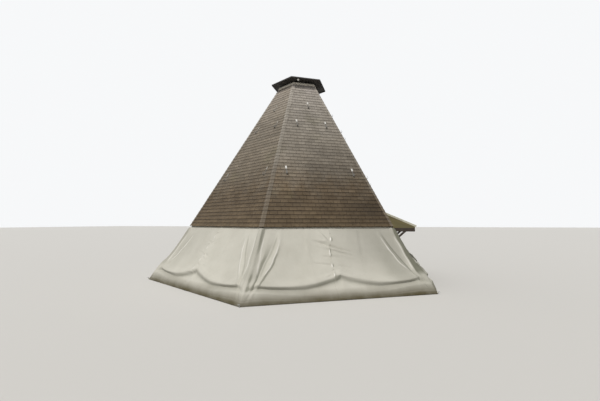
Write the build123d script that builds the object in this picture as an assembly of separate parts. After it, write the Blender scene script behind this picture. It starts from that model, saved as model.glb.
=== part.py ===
"""Six-sided barbecue hut: a steep slated pyramid on short posts, closed below by a canvas skirt.

Millimetres, +Z up. The origin is on the ground under the smoke hole, and +X points out of the entrance.
Every member is drawn once, on the entrance side or on the corner to its right, and turned round the Z axis.
"""
from build123d import *
from math import atan2, cos, degrees, radians, sin, tan
import os

# Plan and heights of the slated roof
EAVE_SIDE = 3460
EAVE_HEIGHT = 1570
THROAT_SIDE = 670
THROAT_HEIGHT = 6200

# Roof layers, measured square to the slope
SLATE_LAYER = 14
BOARD_THICKNESS = 24
SLATE_OVERHANG = 40
HIP_SLATE_WIDTH = 65
HIP_SLATE_THICKNESS = 12

# Timber frame, its beams set back behind the eave and below it
POST_SIZE = 160
BEAM_SIZE = 140
BEAM_DROP = 30
BEAM_SETBACK = 126
RAFTER_WIDTH = 60
RAFTER_DEPTH = 140
HIP_RAFTER_WIDTH = 90
HIP_RAFTER_DEPTH = 180
JACK_SPACING = 865
FASCIA_THICKNESS = 25
FASCIA_DROP = 140
MITRE_GAP = 1.5

# Steel shoes under the posts
SHOE_MARGIN = 30
SHOE_PLATE_THICKNESS = 10
SHOE_STEM = 60
SHOE_HEIGHT = 80

# Smoke throat and its cap
THROAT_LINING = 102
THROAT_RING_THICKNESS = 8
THROAT_RING_HEIGHT = 190
FLASHING_THICKNESS = 4
FLASHING_LEG = 75
FLASHING_LIFT = 14
CAP_OVERHANG = 285
CAP_GAP = 50
CAP_COVER_THICKNESS = 4
CAP_LIP = 30
CAP_BOARD_THICKNESS = 24
CAP_FASCIA_THICKNESS = 22
CAP_FASCIA_HEIGHT = 36
BRACKET_WIDTH = 50
BRACKET_THICKNESS = 8
BRACKET_LAP = 110
BRACKET_FOOT = 70

# Lamp under the cap, set in from its edge
LAMP_RADIUS = 38
LAMP_BASE = 15
LAMP_GLASS_RADIUS = 32
LAMP_GLASS_DEPTH = 34
LAMP_GLASS_BEVEL = 17
LAMP_OFFSET = -223
LAMP_INSET = 112

# Canvas skirt: a band on the fascia, then three slopes; knee and hem are a reach beyond the eave and a height
CANVAS_THICKNESS = 4
CANVAS_BAND_DROP = 10
CANVAS_BAND = 45
CANVAS_WAIST_REACH = 454
CANVAS_WAIST_DROP = 80
CANVAS_KNEE = (764, 340)
CANVAS_HEM = (972, 15)
CANVAS_SEAM_GAP = 1.5
DOOR_CLEARANCE = 12
TIE_HEIGHT = 800
TIE_PULL = 398
HEM_PULL = 228
STRAP_HEIGHT = 40
STRAP_THICKNESS = 3
STRAP_LENGTH = 360
SOFT_CLEARANCE = 0.3

# Ground pegs at the corners of the skirt
PEG_RADIUS = 9
PEG_HEIGHT = 70
PEG_HEAD = 60

# Ladder hooks on each roof face: distance along the face, distance up the slope to the hook's foot
HOOK_PLACES = ((0, 4070), (-450, 3290), (450, 3290), (-950, 1540), (950, 1540))
HOOK_WIDTH = 30
HOOK_THICKNESS = 6
HOOK_LENGTH = 210
HOOK_REACH = 60
HOOK_LIP = 70
HOOK_BEND = 15

# Entrance canopy
DOOR_POST_SIZE = 100
DOOR_POST_CENTRE = 990
CANOPY_BEAM_WIDTH = 80
CANOPY_BEAM_DEPTH = 100
CANOPY_BEAM_DROP = 50
CANOPY_PROJECTION = 594
CANOPY_PITCH = 24
CANOPY_EDGE = 50
CANOPY_BOARD = 18
CANOPY_RAFTER_WIDTH = 50
CANOPY_RAFTER_DEPTH = 60
CANOPY_RAFTER_NOTCH = 15
CANOPY_RAFTERS = 4
CHEEK_THICKNESS = 20
BRACE_SIZE = 80
BRACE_DROP = 460
BRACE_RUN = 430
TRIM_THICKNESS = 5
TRIM_FACE = 52
CANOPY_FLASHING_WIDTH = 45
CANOPY_APRON = 80

# Sides in order from the entrance, and the corner after each of them
SIDES = ("entrance", "front_right", "rear_right", "rear", "rear_left", "front_left")
CORNERS = ("entrance_right", "right", "rear_right", "rear_left", "left", "entrance_left")
SIDE_ANGLE = 360 / len(SIDES)
HALF_ANGLE = SIDE_ANGLE / 2

# Worked out from the sizes above
APOTHEM_SHARE = cos(radians(HALF_ANGLE))
EAVE_APOTHEM = EAVE_SIDE * APOTHEM_SHARE
THROAT_APOTHEM = THROAT_SIDE * APOTHEM_SHARE
RISE = THROAT_HEIGHT - EAVE_HEIGHT
RUN = EAVE_APOTHEM - THROAT_APOTHEM
PITCH = atan2(RISE, RUN)
SLOPE_LENGTH = (RISE**2 + RUN**2) ** 0.5
DECK_DEPTH = SLATE_LAYER + BOARD_THICKNESS
BEAM_OUTER = EAVE_APOTHEM - BEAM_SETBACK
BEAM_CENTRE = BEAM_OUTER - BEAM_SIZE / 2
BEAM_TOP = EAVE_HEIGHT - BEAM_DROP
BEAM_BOTTOM = BEAM_TOP - BEAM_SIZE
FASCIA_BOTTOM = EAVE_HEIGHT - FASCIA_DROP
FASCIA_OUTER = EAVE_APOTHEM - DECK_DEPTH * sin(PITCH) - SLATE_OVERHANG * cos(PITCH)
FASCIA_INNER = FASCIA_OUTER - FASCIA_THICKNESS
THROAT_RING_APOTHEM = THROAT_APOTHEM - THROAT_LINING
CAP_APOTHEM = (THROAT_SIDE + CAP_OVERHANG) * APOTHEM_SHARE
CAP_FASCIA_BOTTOM = THROAT_HEIGHT + CAP_GAP
CAP_BOARD_TOP = CAP_FASCIA_BOTTOM + CAP_FASCIA_HEIGHT
CAP_BOARD_BOTTOM = CAP_BOARD_TOP - CAP_BOARD_THICKNESS
CAP_TOP = CAP_BOARD_TOP + CAP_COVER_THICKNESS
HEM_APOTHEM = EAVE_APOTHEM + CANVAS_HEM[0]
DOOR_HALF = DOOR_POST_CENTRE + DOOR_POST_SIZE / 2 + DOOR_CLEARANCE
FAR = 2 * EAVE_SIDE


def turned(shape, angle):
    """The shape turned about the hut's axis."""
    return Rot(0, 0, angle) * shape


def all_round(shape):
    """A copy of a piece on each side."""
    return [turned(shape, i * SIDE_ANGLE) for i in range(len(SIDES))]


def roof_plane(depth=0, up=0):
    """The entrance side's roof plane: x along the eave, y up the slope, z out of the roof."""
    x = EAVE_APOTHEM - depth * sin(PITCH) - up * cos(PITCH)
    z = EAVE_HEIGHT - depth * cos(PITCH) + up * sin(PITCH)
    return Plane(origin=(x, 0, z), x_dir=(0, 1, 0), z_dir=(sin(PITCH), 0, cos(PITCH)))


def sector(top, gap=0.0):
    """The sixth of the plan behind the entrance side, from the ground up, less a gap at each hip."""
    start = gap / sin(radians(HALF_ANGLE))
    half = (FAR - start) * tan(radians(HALF_ANGLE))
    plan = make_face(Polyline((start, 0), (FAR, -half), (FAR, half), close=True))
    return extrude(plan, top, dir=(0, 0, 1))


def roof_slab(depth, thickness, up=0.0, top=THROAT_HEIGHT):
    """A layer of the entrance side's roof, mitred at the hips and level at its top."""
    sheet = roof_plane(depth) * Pos(0, up + SLOPE_LENGTH) * Rectangle(2 * EAVE_SIDE, 2 * SLOPE_LENGTH)
    return extrude(sheet, -thickness) & sector(top)


def ring(apothem, thickness, bottom, height):
    """A six-sided upright ring, by the apothem of its outer faces."""
    outer = RegularPolygon(apothem, 6, major_radius=False, rotation=HALF_ANGLE)
    inner = RegularPolygon(apothem - thickness, 6, major_radius=False, rotation=HALF_ANGLE)
    return Pos(0, 0, bottom) * extrude(outer - inner, height)


def box_between(low, high):
    """A box by its lowest and highest corners."""
    size = [b - a for a, b in zip(low, high)]
    return Pos(*low) * Box(*size, align=(Align.MIN, Align.MIN, Align.MIN))


def side_profile(points, low_y, high_y):
    """A polygon in the XZ plane, drawn out along Y from low_y to high_y."""
    face = make_face(Polyline(*[(x, low_y, z) for x, z in points], close=True))
    return extrude(face, high_y - low_y, dir=(0, 1, 0))


# Roof layers
def slate_layer():
    return roof_slab(0, SLATE_LAYER)


def roof_boards():
    return roof_slab(SLATE_LAYER, BOARD_THICKNESS, SLATE_OVERHANG)


def hip_slate():
    """The folded covering of one hip, at the corner to the entrance's right."""
    half_shell = roof_slab(-HIP_SLATE_THICKNESS, HIP_SLATE_THICKNESS, 0, THROAT_HEIGHT)
    half_shell -= roof_plane(0, SLOPE_LENGTH - FLASHING_LEG) * Pos(0, SLOPE_LENGTH) * Box(
        2 * EAVE_SIDE, 2 * SLOPE_LENGTH, 4 * HIP_SLATE_THICKNESS
    )
    shell = half_shell + turned(half_shell, SIDE_ANGLE)
    hip_run = EAVE_SIDE - THROAT_SIDE
    hip = Plane(
        origin=turned_point(EAVE_SIDE, EAVE_HEIGHT),
        x_dir=turned_point(-hip_run, RISE),
        z_dir=Vector(-sin(radians(HALF_ANGLE)), cos(radians(HALF_ANGLE)), 0),
    )
    strip = hip * Box(4 * SLOPE_LENGTH, 4 * HIP_SLATE_WIDTH, 2 * HIP_SLATE_WIDTH)
    return shell & strip


def turned_point(radius, height):
    """A point above the corner to the entrance's right."""
    return Vector(radius * cos(radians(HALF_ANGLE)), radius * sin(radians(HALF_ANGLE)), height)


# Timber frame
def eaves_beam():
    low = (BEAM_OUTER - BEAM_SIZE, -EAVE_SIDE, BEAM_BOTTOM)
    return box_between(low, (BEAM_OUTER, EAVE_SIDE, BEAM_TOP)) & sector(THROAT_HEIGHT, MITRE_GAP)


def eaves_fascia():
    """The board along the rafter feet, its top bevelled under the roof boards."""
    high = (FASCIA_OUTER, EAVE_SIDE, EAVE_HEIGHT + BEAM_SIZE)
    board = box_between((FASCIA_INNER, -EAVE_SIDE, FASCIA_BOTTOM), high)
    above = extrude(roof_plane(DECK_DEPTH) * Rectangle(4 * EAVE_SIDE, 4 * SLOPE_LENGTH), 4 * BEAM_SIZE)
    return (board - above) & sector(THROAT_HEIGHT, MITRE_GAP)


def rafter(offset):
    """A rafter at a distance along the side, notched over the beam and cut at the fascia and the throat."""
    sheet = roof_plane(DECK_DEPTH) * Pos(offset, 0) * Rectangle(RAFTER_WIDTH, 4 * SLOPE_LENGTH)
    body = extrude(sheet, -RAFTER_DEPTH)
    room = box_between((THROAT_RING_APOTHEM, -EAVE_SIDE, FASCIA_BOTTOM), (FASCIA_INNER, EAVE_SIDE, THROAT_HEIGHT))
    beam_room = box_between((0, -EAVE_SIDE, 0), (BEAM_OUTER, EAVE_SIDE, BEAM_TOP))
    return (body & room) - beam_room


def hip_plane(drop=0.0):
    """The hip's plane at the corner to the entrance's right: x up the hip, z sideways, y down from the roof."""
    up_hip = turned_point(THROAT_SIDE - EAVE_SIDE, RISE)
    sideways = Vector(-sin(radians(HALF_ANGLE)), cos(radians(HALF_ANGLE)), 0)
    return Plane(origin=turned_point(EAVE_SIDE, EAVE_HEIGHT - drop), x_dir=up_hip, z_dir=sideways)


def hip_rafter():
    """The rafter under one hip, its back bevelled to both slopes and its foot notched over the beams."""
    plane = hip_plane(DECK_DEPTH / cos(PITCH))
    bar = plane * Pos(0, -HIP_RAFTER_DEPTH / 2) * Box(4 * SLOPE_LENGTH, HIP_RAFTER_DEPTH, HIP_RAFTER_WIDTH)
    slopes = extrude(roof_plane(DECK_DEPTH) * Rectangle(4 * EAVE_SIDE, 4 * SLOPE_LENGTH), 4 * HIP_RAFTER_DEPTH)
    bar -= slopes
    bar -= turned(slopes, SIDE_ANGLE)
    throat = extrude(RegularPolygon(THROAT_RING_APOTHEM, 6, major_radius=False, rotation=HALF_ANGLE), THROAT_HEIGHT)
    foot = extrude(RegularPolygon(FASCIA_INNER, 6, major_radius=False, rotation=HALF_ANGLE), THROAT_HEIGHT)
    beams = extrude(RegularPolygon(BEAM_OUTER, 6, major_radius=False, rotation=HALF_ANGLE), BEAM_TOP)
    body = (bar & foot) - throat - beams
    return body & box_between((-FAR, -FAR, FASCIA_BOTTOM), (FAR, FAR, THROAT_HEIGHT))


def jack_rafter(offset):
    """A short rafter whose head is cut against the hip rafter."""
    hip_side = HIP_RAFTER_WIDTH / 2
    cut = hip_plane() * Pos(0, 0, -hip_side) * Box(
        4 * SLOPE_LENGTH, 4 * SLOPE_LENGTH, 2 * SLOPE_LENGTH, align=(Align.CENTER, Align.CENTER, Align.MIN)
    )
    return rafter(offset) - cut


def corner_post():
    centre = turned_point(BEAM_CENTRE / APOTHEM_SHARE, SHOE_HEIGHT)
    body = Box(POST_SIZE, POST_SIZE, BEAM_BOTTOM - SHOE_HEIGHT, align=(Align.CENTER, Align.CENTER, Align.MIN))
    return Pos(*centre) * Rot(0, 0, HALF_ANGLE) * body


def post_shoe(size):
    """A steel shoe: a plate on the ground, a stem, and a plate under the post."""
    up = (Align.CENTER, Align.CENTER, Align.MIN)
    plate = size + 2 * SHOE_MARGIN
    base = Box(plate, plate, SHOE_PLATE_THICKNESS, align=up)
    stem = Box(SHOE_STEM, SHOE_STEM, SHOE_HEIGHT, align=up)
    head = Pos(0, 0, SHOE_HEIGHT - SHOE_PLATE_THICKNESS) * Box(size, size, SHOE_PLATE_THICKNESS, align=up)
    return base + stem + head


# Smoke throat and cap
def throat_flashing():
    """The metal collar over the top edge of the slates, turned in over the throat ring."""
    lift = FLASHING_LIFT + FLASHING_THICKNESS
    leg = roof_slab(-lift, lift, SLOPE_LENGTH - FLASHING_LEG, THROAT_HEIGHT + FLASHING_THICKNESS)
    outer = THROAT_APOTHEM + (lift / sin(PITCH)) - FLASHING_THICKNESS / tan(PITCH)
    cover = ring(outer, outer - THROAT_RING_APOTHEM, THROAT_HEIGHT, FLASHING_THICKNESS)
    legs = all_round(leg)
    return cover + legs


def cap_bracket():
    """An angle bracket from the throat ring up to the cap's boards, on the entrance side."""
    face = THROAT_RING_APOTHEM - THROAT_RING_THICKNESS
    half = BRACKET_WIDTH / 2
    low = THROAT_HEIGHT - BRACKET_LAP
    upright = box_between((face - BRACKET_THICKNESS, -half, low), (face, half, CAP_BOARD_BOTTOM))
    foot_low = CAP_BOARD_BOTTOM - BRACKET_THICKNESS
    foot = box_between((face - BRACKET_FOOT, -half, foot_low), (face, half, CAP_BOARD_BOTTOM))
    return upright + foot


def cap_fascia():
    outer = CAP_APOTHEM - CAP_COVER_THICKNESS
    low = (outer - CAP_FASCIA_THICKNESS, -CAP_APOTHEM, CAP_FASCIA_BOTTOM)
    return box_between(low, (outer, CAP_APOTHEM, CAP_BOARD_TOP)) & sector(CAP_TOP, MITRE_GAP)


def cap_cover():
    """The sheet on the cap, its edge turned down over the boards."""
    plate = Pos(0, 0, CAP_BOARD_TOP) * extrude(
        RegularPolygon(CAP_APOTHEM, 6, major_radius=False, rotation=HALF_ANGLE), CAP_COVER_THICKNESS
    )
    return plate + ring(CAP_APOTHEM, CAP_COVER_THICKNESS, CAP_TOP - CAP_LIP, CAP_LIP)


def cap_boards():
    apothem = CAP_APOTHEM - CAP_COVER_THICKNESS - CAP_FASCIA_THICKNESS
    plan = RegularPolygon(apothem, 6, major_radius=False, rotation=HALF_ANGLE)
    return Pos(0, 0, CAP_BOARD_BOTTOM) * extrude(plan, CAP_BOARD_THICKNESS)


def cap_lamp():
    """A round lamp under the cap's boards: a flat base and a bevelled glass that hangs down."""
    up = (Align.CENTER, Align.CENTER, Align.MIN)
    base = Cylinder(LAMP_RADIUS, LAMP_BASE, align=up)
    glass = Cylinder(LAMP_GLASS_RADIUS, LAMP_GLASS_DEPTH, align=up)
    glass = chamfer(glass.edges().group_by(Axis.Z)[-1], LAMP_GLASS_BEVEL)
    lamp = base + Pos(0, 0, LAMP_BASE) * glass
    seat = Plane(origin=(CAP_APOTHEM - LAMP_INSET, LAMP_OFFSET, CAP_BOARD_BOTTOM), z_dir=(0, 0, -1))
    return seat * lamp


# Canvas skirt
def canvas_line():
    """The canvas in section, as points down its outer side."""
    face = FASCIA_OUTER + SOFT_CLEARANCE + CANVAS_THICKNESS
    top = EAVE_HEIGHT - CANVAS_BAND_DROP
    waist = (CANVAS_WAIST_REACH, TIE_HEIGHT - CANVAS_WAIST_DROP)
    slopes = [(EAVE_APOTHEM + reach, z) for reach, z in (waist, CANVAS_KNEE, CANVAS_HEM)]
    return [(face, top), (face, top - CANVAS_BAND)] + slopes


def canvas_half():
    """Half of the entrance side's canvas, from the middle seam to the corner on its right."""
    outer = canvas_line()
    inner = [(x - CANVAS_THICKNESS, z) for x, z in reversed(outer)]
    sheet = side_profile(outer + inner, CANVAS_SEAM_GAP, FAR / 2)
    return sheet & sector(THROAT_HEIGHT)


def doorway():
    """The opening between the two tied-back flaps, as a cutter through the entrance side."""
    top, foot = EAVE_HEIGHT + BEAM_SIZE, -CANVAS_HEM[1]
    points = ((0, DOOR_HALF, top), (0, DOOR_HALF + TIE_PULL, TIE_HEIGHT), (0, DOOR_HALF + HEM_PULL, foot))
    edge = Spline(*points, tangents=((0, 1, -1), (0, 0, -1), (0, -1, -1)))
    rest = Polyline(points[-1], (0, 0, foot), (0, 0, top), points[0])
    right = extrude(make_face(Curve([edge, rest])), FAR, dir=(1, 0, 0))
    return right + mirror(right, Plane.XZ)


def corner_canvas(flap_on=None):
    """One canvas: it wraps a corner and runs to the seam in the middle of each side that meets there."""
    right_half = canvas_half()
    left_half = mirror(right_half, Plane.XZ)
    door = doorway()
    if flap_on == "before":
        right_half -= door
    if flap_on == "after":
        left_half -= door
    return right_half + turned(left_half, SIDE_ANGLE)


def tie_strap():
    """The strap that holds the flap on the entrance's right gathered at its tie height."""
    outer = side_slice(SOFT_CLEARANCE + STRAP_THICKNESS)
    inner = side_slice(SOFT_CLEARANCE)
    start = DOOR_HALF + TIE_PULL - CANVAS_SEAM_GAP - STRAP_THICKNESS
    end = start + STRAP_LENGTH
    band = side_profile(outer, start, end)
    hollow = side_profile(inner, start + STRAP_THICKNESS, end)
    return band - hollow


def side_slice(grow):
    """The canvas in section over the height of the strap, grown on both faces."""
    (top_x, top_z), (waist_x, waist_z) = canvas_line()[1:3]
    lean = (waist_x - top_x) / (top_z - waist_z)
    high, low = TIE_HEIGHT + STRAP_HEIGHT / 2, TIE_HEIGHT - STRAP_HEIGHT / 2
    x_high = top_x + lean * (top_z - high)
    x_low = top_x + lean * (top_z - low)
    back = CANVAS_THICKNESS + grow
    return [(x_high + grow, high), (x_low + grow, low), (x_low - back, low), (x_high - back, high)]


def ground_peg():
    """A hooked steel peg just outside a corner of the hem, at the corner to the entrance's right."""
    centre = turned_point(HEM_APOTHEM / APOTHEM_SHARE + PEG_RADIUS + SOFT_CLEARANCE, 0)
    section = RegularPolygon(PEG_RADIUS, 8)
    shank = extrude(section, PEG_HEIGHT)
    head = Pos(-PEG_RADIUS, 0, PEG_HEIGHT - PEG_RADIUS) * Rot(0, 90, 0) * extrude(section, PEG_HEAD)
    return Pos(*centre) * Rot(0, 0, HALF_ANGLE) * (shank + head)


# Ladder hooks
def ladder_hook(along, up):
    """A flat steel hook on the slates: a strap up the slope, its foot turned out and up again to hold a ladder."""
    bend = HOOK_BEND
    inner = bend + HOOK_THICKNESS * tan(radians(22.5))
    front = HOOK_REACH - HOOK_THICKNESS
    profile = [
        (HOOK_LENGTH, 0), (bend, 0), (0, bend), (0, HOOK_REACH - bend), (bend, HOOK_REACH), (HOOK_LIP, HOOK_REACH),
        (HOOK_LIP, front), (inner, front), (HOOK_THICKNESS, HOOK_REACH - inner), (HOOK_THICKNESS, inner),
        (inner, HOOK_THICKNESS), (HOOK_LENGTH, HOOK_THICKNESS),
    ]
    place = roof_plane(0, up)
    points = [place.origin + place.y_dir * run + place.z_dir * out for run, out in profile]
    return side_profile([(point.X, point.Z) for point in points], along - HOOK_WIDTH / 2, along + HOOK_WIDTH / 2)


# Entrance canopy
CANOPY_REACH = EAVE_APOTHEM + CANOPY_PROJECTION
CANOPY_BEAM_TOP = EAVE_HEIGHT - CANOPY_BEAM_DROP
CANOPY_SLOPE = tan(radians(CANOPY_PITCH))
CANOPY_LAYERS = SLATE_LAYER + CANOPY_BOARD + CANOPY_RAFTER_DEPTH
CANOPY_LIFT = CANOPY_LAYERS / cos(radians(CANOPY_PITCH)) - CANOPY_RAFTER_NOTCH
CANOPY_HALF = DOOR_POST_CENTRE + CANOPY_BEAM_WIDTH / 2


def main_roof_room():
    """Everything inside the slated surface of the entrance side, as a cutter for what lands on it."""
    x_top, z_top = THROAT_APOTHEM, THROAT_HEIGHT
    return side_profile([(0, 0), (EAVE_APOTHEM, 0), (EAVE_APOTHEM, EAVE_HEIGHT), (x_top, z_top), (0, z_top)],
                        -EAVE_SIDE, EAVE_SIDE)


def canopy_plane(depth):
    """The canopy's roof plane over its front beam: x along the eave, y up the slope, z out."""
    angle = radians(CANOPY_PITCH)
    x = CANOPY_REACH - depth * sin(angle)
    z = CANOPY_BEAM_TOP + CANOPY_LIFT - depth * cos(angle)
    return Plane(origin=(x, 0, z), x_dir=(0, 1, 0), z_dir=(sin(angle), 0, cos(angle)))


def canopy_slab(depth, thickness, half_width, past):
    """A layer of the canopy roof, from its front edge up to the main roof."""
    length = EAVE_SIDE
    sheet = canopy_plane(depth) * Pos(0, length / 2 - past) * Rectangle(2 * half_width, length)
    return extrude(sheet, -thickness) - main_roof_room()


def canopy_rafters():
    """The canopy's rafters, notched over the front beam."""
    pieces = []
    span = 2 * (CANOPY_HALF - CHEEK_THICKNESS) - CANOPY_RAFTER_WIDTH
    for i in range(CANOPY_RAFTERS):
        y = -span / 2 + span * i / (CANOPY_RAFTERS - 1)
        bar = canopy_slab(SLATE_LAYER + CANOPY_BOARD, CANOPY_RAFTER_DEPTH, CANOPY_RAFTER_WIDTH / 2, 0)
        bar = Pos(0, y, 0) * bar - canopy_front_beam() - canopy_side_beam() - mirror(canopy_side_beam(), Plane.XZ)
        bar -= box_between((CANOPY_REACH, -FAR, 0), (FAR, FAR, FAR))
        pieces.append(bar)
    return pieces


def canopy_side_beam():
    inner = CANOPY_HALF - CANOPY_BEAM_WIDTH
    low = (BEAM_OUTER, inner, CANOPY_BEAM_TOP - CANOPY_BEAM_DEPTH)
    return box_between(low, (CANOPY_REACH, CANOPY_HALF, CANOPY_BEAM_TOP))


def canopy_front_beam():
    inner = CANOPY_HALF - CANOPY_BEAM_WIDTH
    low = (CANOPY_REACH - CANOPY_BEAM_WIDTH, -inner, CANOPY_BEAM_TOP - CANOPY_BEAM_DEPTH)
    return box_between(low, (CANOPY_REACH, inner, CANOPY_BEAM_TOP))


def canopy_cheek():
    """The boarded triangle between the side beam, the canopy boards and the main roof."""
    low = (0, CANOPY_HALF - CHEEK_THICKNESS, CANOPY_BEAM_TOP)
    cheek = box_between(low, (CANOPY_REACH, CANOPY_HALF, THROAT_HEIGHT))
    above = canopy_plane(SLATE_LAYER + CANOPY_BOARD) * Box(
        4 * EAVE_SIDE, 4 * EAVE_SIDE, 2 * EAVE_SIDE, align=(Align.CENTER, Align.CENTER, Align.MIN)
    )
    return cheek - above - main_roof_room()


def canopy_brace():
    """The knee brace from the door post out to the side beam."""
    post_face = BEAM_CENTRE + DOOR_POST_SIZE / 2
    top = CANOPY_BEAM_TOP - CANOPY_BEAM_DEPTH
    foot = top - BRACE_DROP
    points = [(post_face, foot), (post_face + BRACE_RUN + BRACE_SIZE, top), (post_face + BRACE_RUN, top),
              (post_face, foot + BRACE_SIZE)]
    half = BRACE_SIZE / 2
    return side_profile(points, DOOR_POST_CENTRE - half, DOOR_POST_CENTRE + half)


def canopy_trim():
    """The folded metal edge along one sloping side of the canopy."""
    face = canopy_slab(-TRIM_THICKNESS, TRIM_FACE, CANOPY_HALF + TRIM_THICKNESS, CANOPY_EDGE)
    body = canopy_slab(0, TRIM_FACE, CANOPY_HALF, CANOPY_EDGE)
    top_leg = box_between((0, CANOPY_HALF - TRIM_FACE, 0), (FAR, FAR, FAR))
    return (face - body) & top_leg


def canopy_flashing():
    """The metal laid on the main slates round the canopy: a strip up each side and an apron across the top."""
    crown = canopy_crown()
    half = CANOPY_HALF + TRIM_THICKNESS
    reach = half + CANOPY_FLASHING_WIDTH
    plane = roof_plane()
    plate = plane * Pos(0, (crown + CANOPY_APRON) / 2) * Rectangle(2 * reach, crown + CANOPY_APRON)
    hole = plane * Pos(0, (crown - TRIM_THICKNESS) / 2) * Rectangle(2 * half, crown + TRIM_THICKNESS)
    sheet = extrude(plate, TRIM_THICKNESS) - extrude(hole, TRIM_THICKNESS)
    return sheet - canopy_slab(-TRIM_THICKNESS, TRIM_FACE, half, CANOPY_EDGE)


def canopy_crown():
    """How far up the main slope the canopy's surface meets it."""
    edge = canopy_plane(-TRIM_THICKNESS).origin
    x = (EAVE_HEIGHT + EAVE_APOTHEM * tan(PITCH) - edge.Z - edge.X * CANOPY_SLOPE) / (tan(PITCH) - CANOPY_SLOPE)
    return (EAVE_APOTHEM - x) / cos(PITCH)


def both_hands(shape):
    """A piece on the entrance's right, and its mirror image on the left."""
    return [shape, mirror(shape, Plane.XZ)]


def door_post():
    body = Box(DOOR_POST_SIZE, DOOR_POST_SIZE, BEAM_BOTTOM - SHOE_HEIGHT, align=(Align.CENTER, Align.CENTER, Align.MIN))
    return Pos(BEAM_CENTRE, DOOR_POST_CENTRE, SHOE_HEIGHT) * body


def entrance_fascia(board):
    """The entrance side's fascia, notched over the canopy's side beams."""
    for beam in both_hands(canopy_side_beam()):
        board -= beam
    return board


def hut():
    """Every node of the hut by name."""
    nodes = {}
    shoe = Pos(*turned_point(BEAM_CENTRE / APOTHEM_SHARE, 0)) * Rot(0, 0, HALF_ANGLE) * post_shoe(POST_SIZE)
    door_shoe = Pos(BEAM_CENTRE, DOOR_POST_CENTRE, 0) * post_shoe(DOOR_POST_SIZE)
    nodes["post_shoes"] = all_round(shoe) + both_hands(door_shoe)
    nodes["corner_posts"] = all_round(corner_post())
    nodes["door_posts"] = both_hands(door_post())
    nodes["eaves_beams"] = all_round(eaves_beam())
    nodes["hip_rafters"] = all_round(hip_rafter())
    jack = jack_rafter(JACK_SPACING)
    nodes["rafters"] = all_round(rafter(0)) + all_round(jack) + all_round(mirror(jack, Plane.XZ))
    fascias = all_round(eaves_fascia())
    nodes["eaves_fascia"] = [entrance_fascia(fascias[0])] + fascias[1:]
    boards, slates = roof_boards(), slate_layer()
    for i, name in enumerate(SIDES):
        nodes[f"roof_boards_{name}"] = [turned(boards, i * SIDE_ANGLE)]
        nodes[f"slates_{name}"] = [turned(slates, i * SIDE_ANGLE)]
    nodes["hip_slates"] = all_round(hip_slate())
    nodes["throat_ring"] = [
        ring(THROAT_RING_APOTHEM, THROAT_RING_THICKNESS, THROAT_HEIGHT - THROAT_RING_HEIGHT, THROAT_RING_HEIGHT)
    ]
    nodes["throat_flashing"] = [throat_flashing()]
    nodes["smoke_cap_brackets"] = all_round(cap_bracket())
    nodes["smoke_cap_boards"] = [cap_boards()]
    nodes["smoke_cap_fascia"] = all_round(cap_fascia())
    nodes["smoke_cap_cover"] = [cap_cover()]
    nodes["smoke_cap_lamp"] = [turned(cap_lamp(), SIDES.index("front_left") * SIDE_ANGLE)]
    flaps = {"entrance_right": "before", "entrance_left": "after"}
    for i, name in enumerate(CORNERS):
        nodes[f"canvas_{name}"] = [turned(corner_canvas(flaps.get(name)), i * SIDE_ANGLE)]
    nodes["canvas_tie_straps"] = both_hands(tie_strap())
    nodes["ground_pegs"] = all_round(ground_peg())
    nodes["ladder_hooks"] = [hook for place in HOOK_PLACES for hook in all_round(ladder_hook(*place))]
    nodes["canopy_beams"] = both_hands(canopy_side_beam()) + [canopy_front_beam()]
    nodes["canopy_braces"] = both_hands(canopy_brace())
    nodes["canopy_rafters"] = canopy_rafters()
    nodes["canopy_boards"] = [canopy_slab(SLATE_LAYER, CANOPY_BOARD, CANOPY_HALF, 0)]
    nodes["canopy_slates"] = [canopy_slab(0, SLATE_LAYER, CANOPY_HALF, CANOPY_EDGE)]
    nodes["canopy_cheeks"] = both_hands(canopy_cheek())
    nodes["canopy_edge_trims"] = both_hands(canopy_trim())
    nodes["canopy_flashing"] = [canopy_flashing()]
    return nodes


def write(nodes):
    """One STEP file for each node."""
    os.makedirs("parts", exist_ok=True)
    for name, pieces in nodes.items():
        solids = [solid for piece in pieces for solid in piece.solids()]
        shape = solids[0] if len(solids) == 1 else Compound(children=solids)
        shape.label = name
        export_step(shape, f"parts/{name}.step")


write(hut())
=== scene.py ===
"""Looks of the barbecue hut, in metres, in the order in which the hut goes together."""

import bpy
import bmesh
import random
from math import cos, hypot, pi, radians, sin, tan

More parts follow.
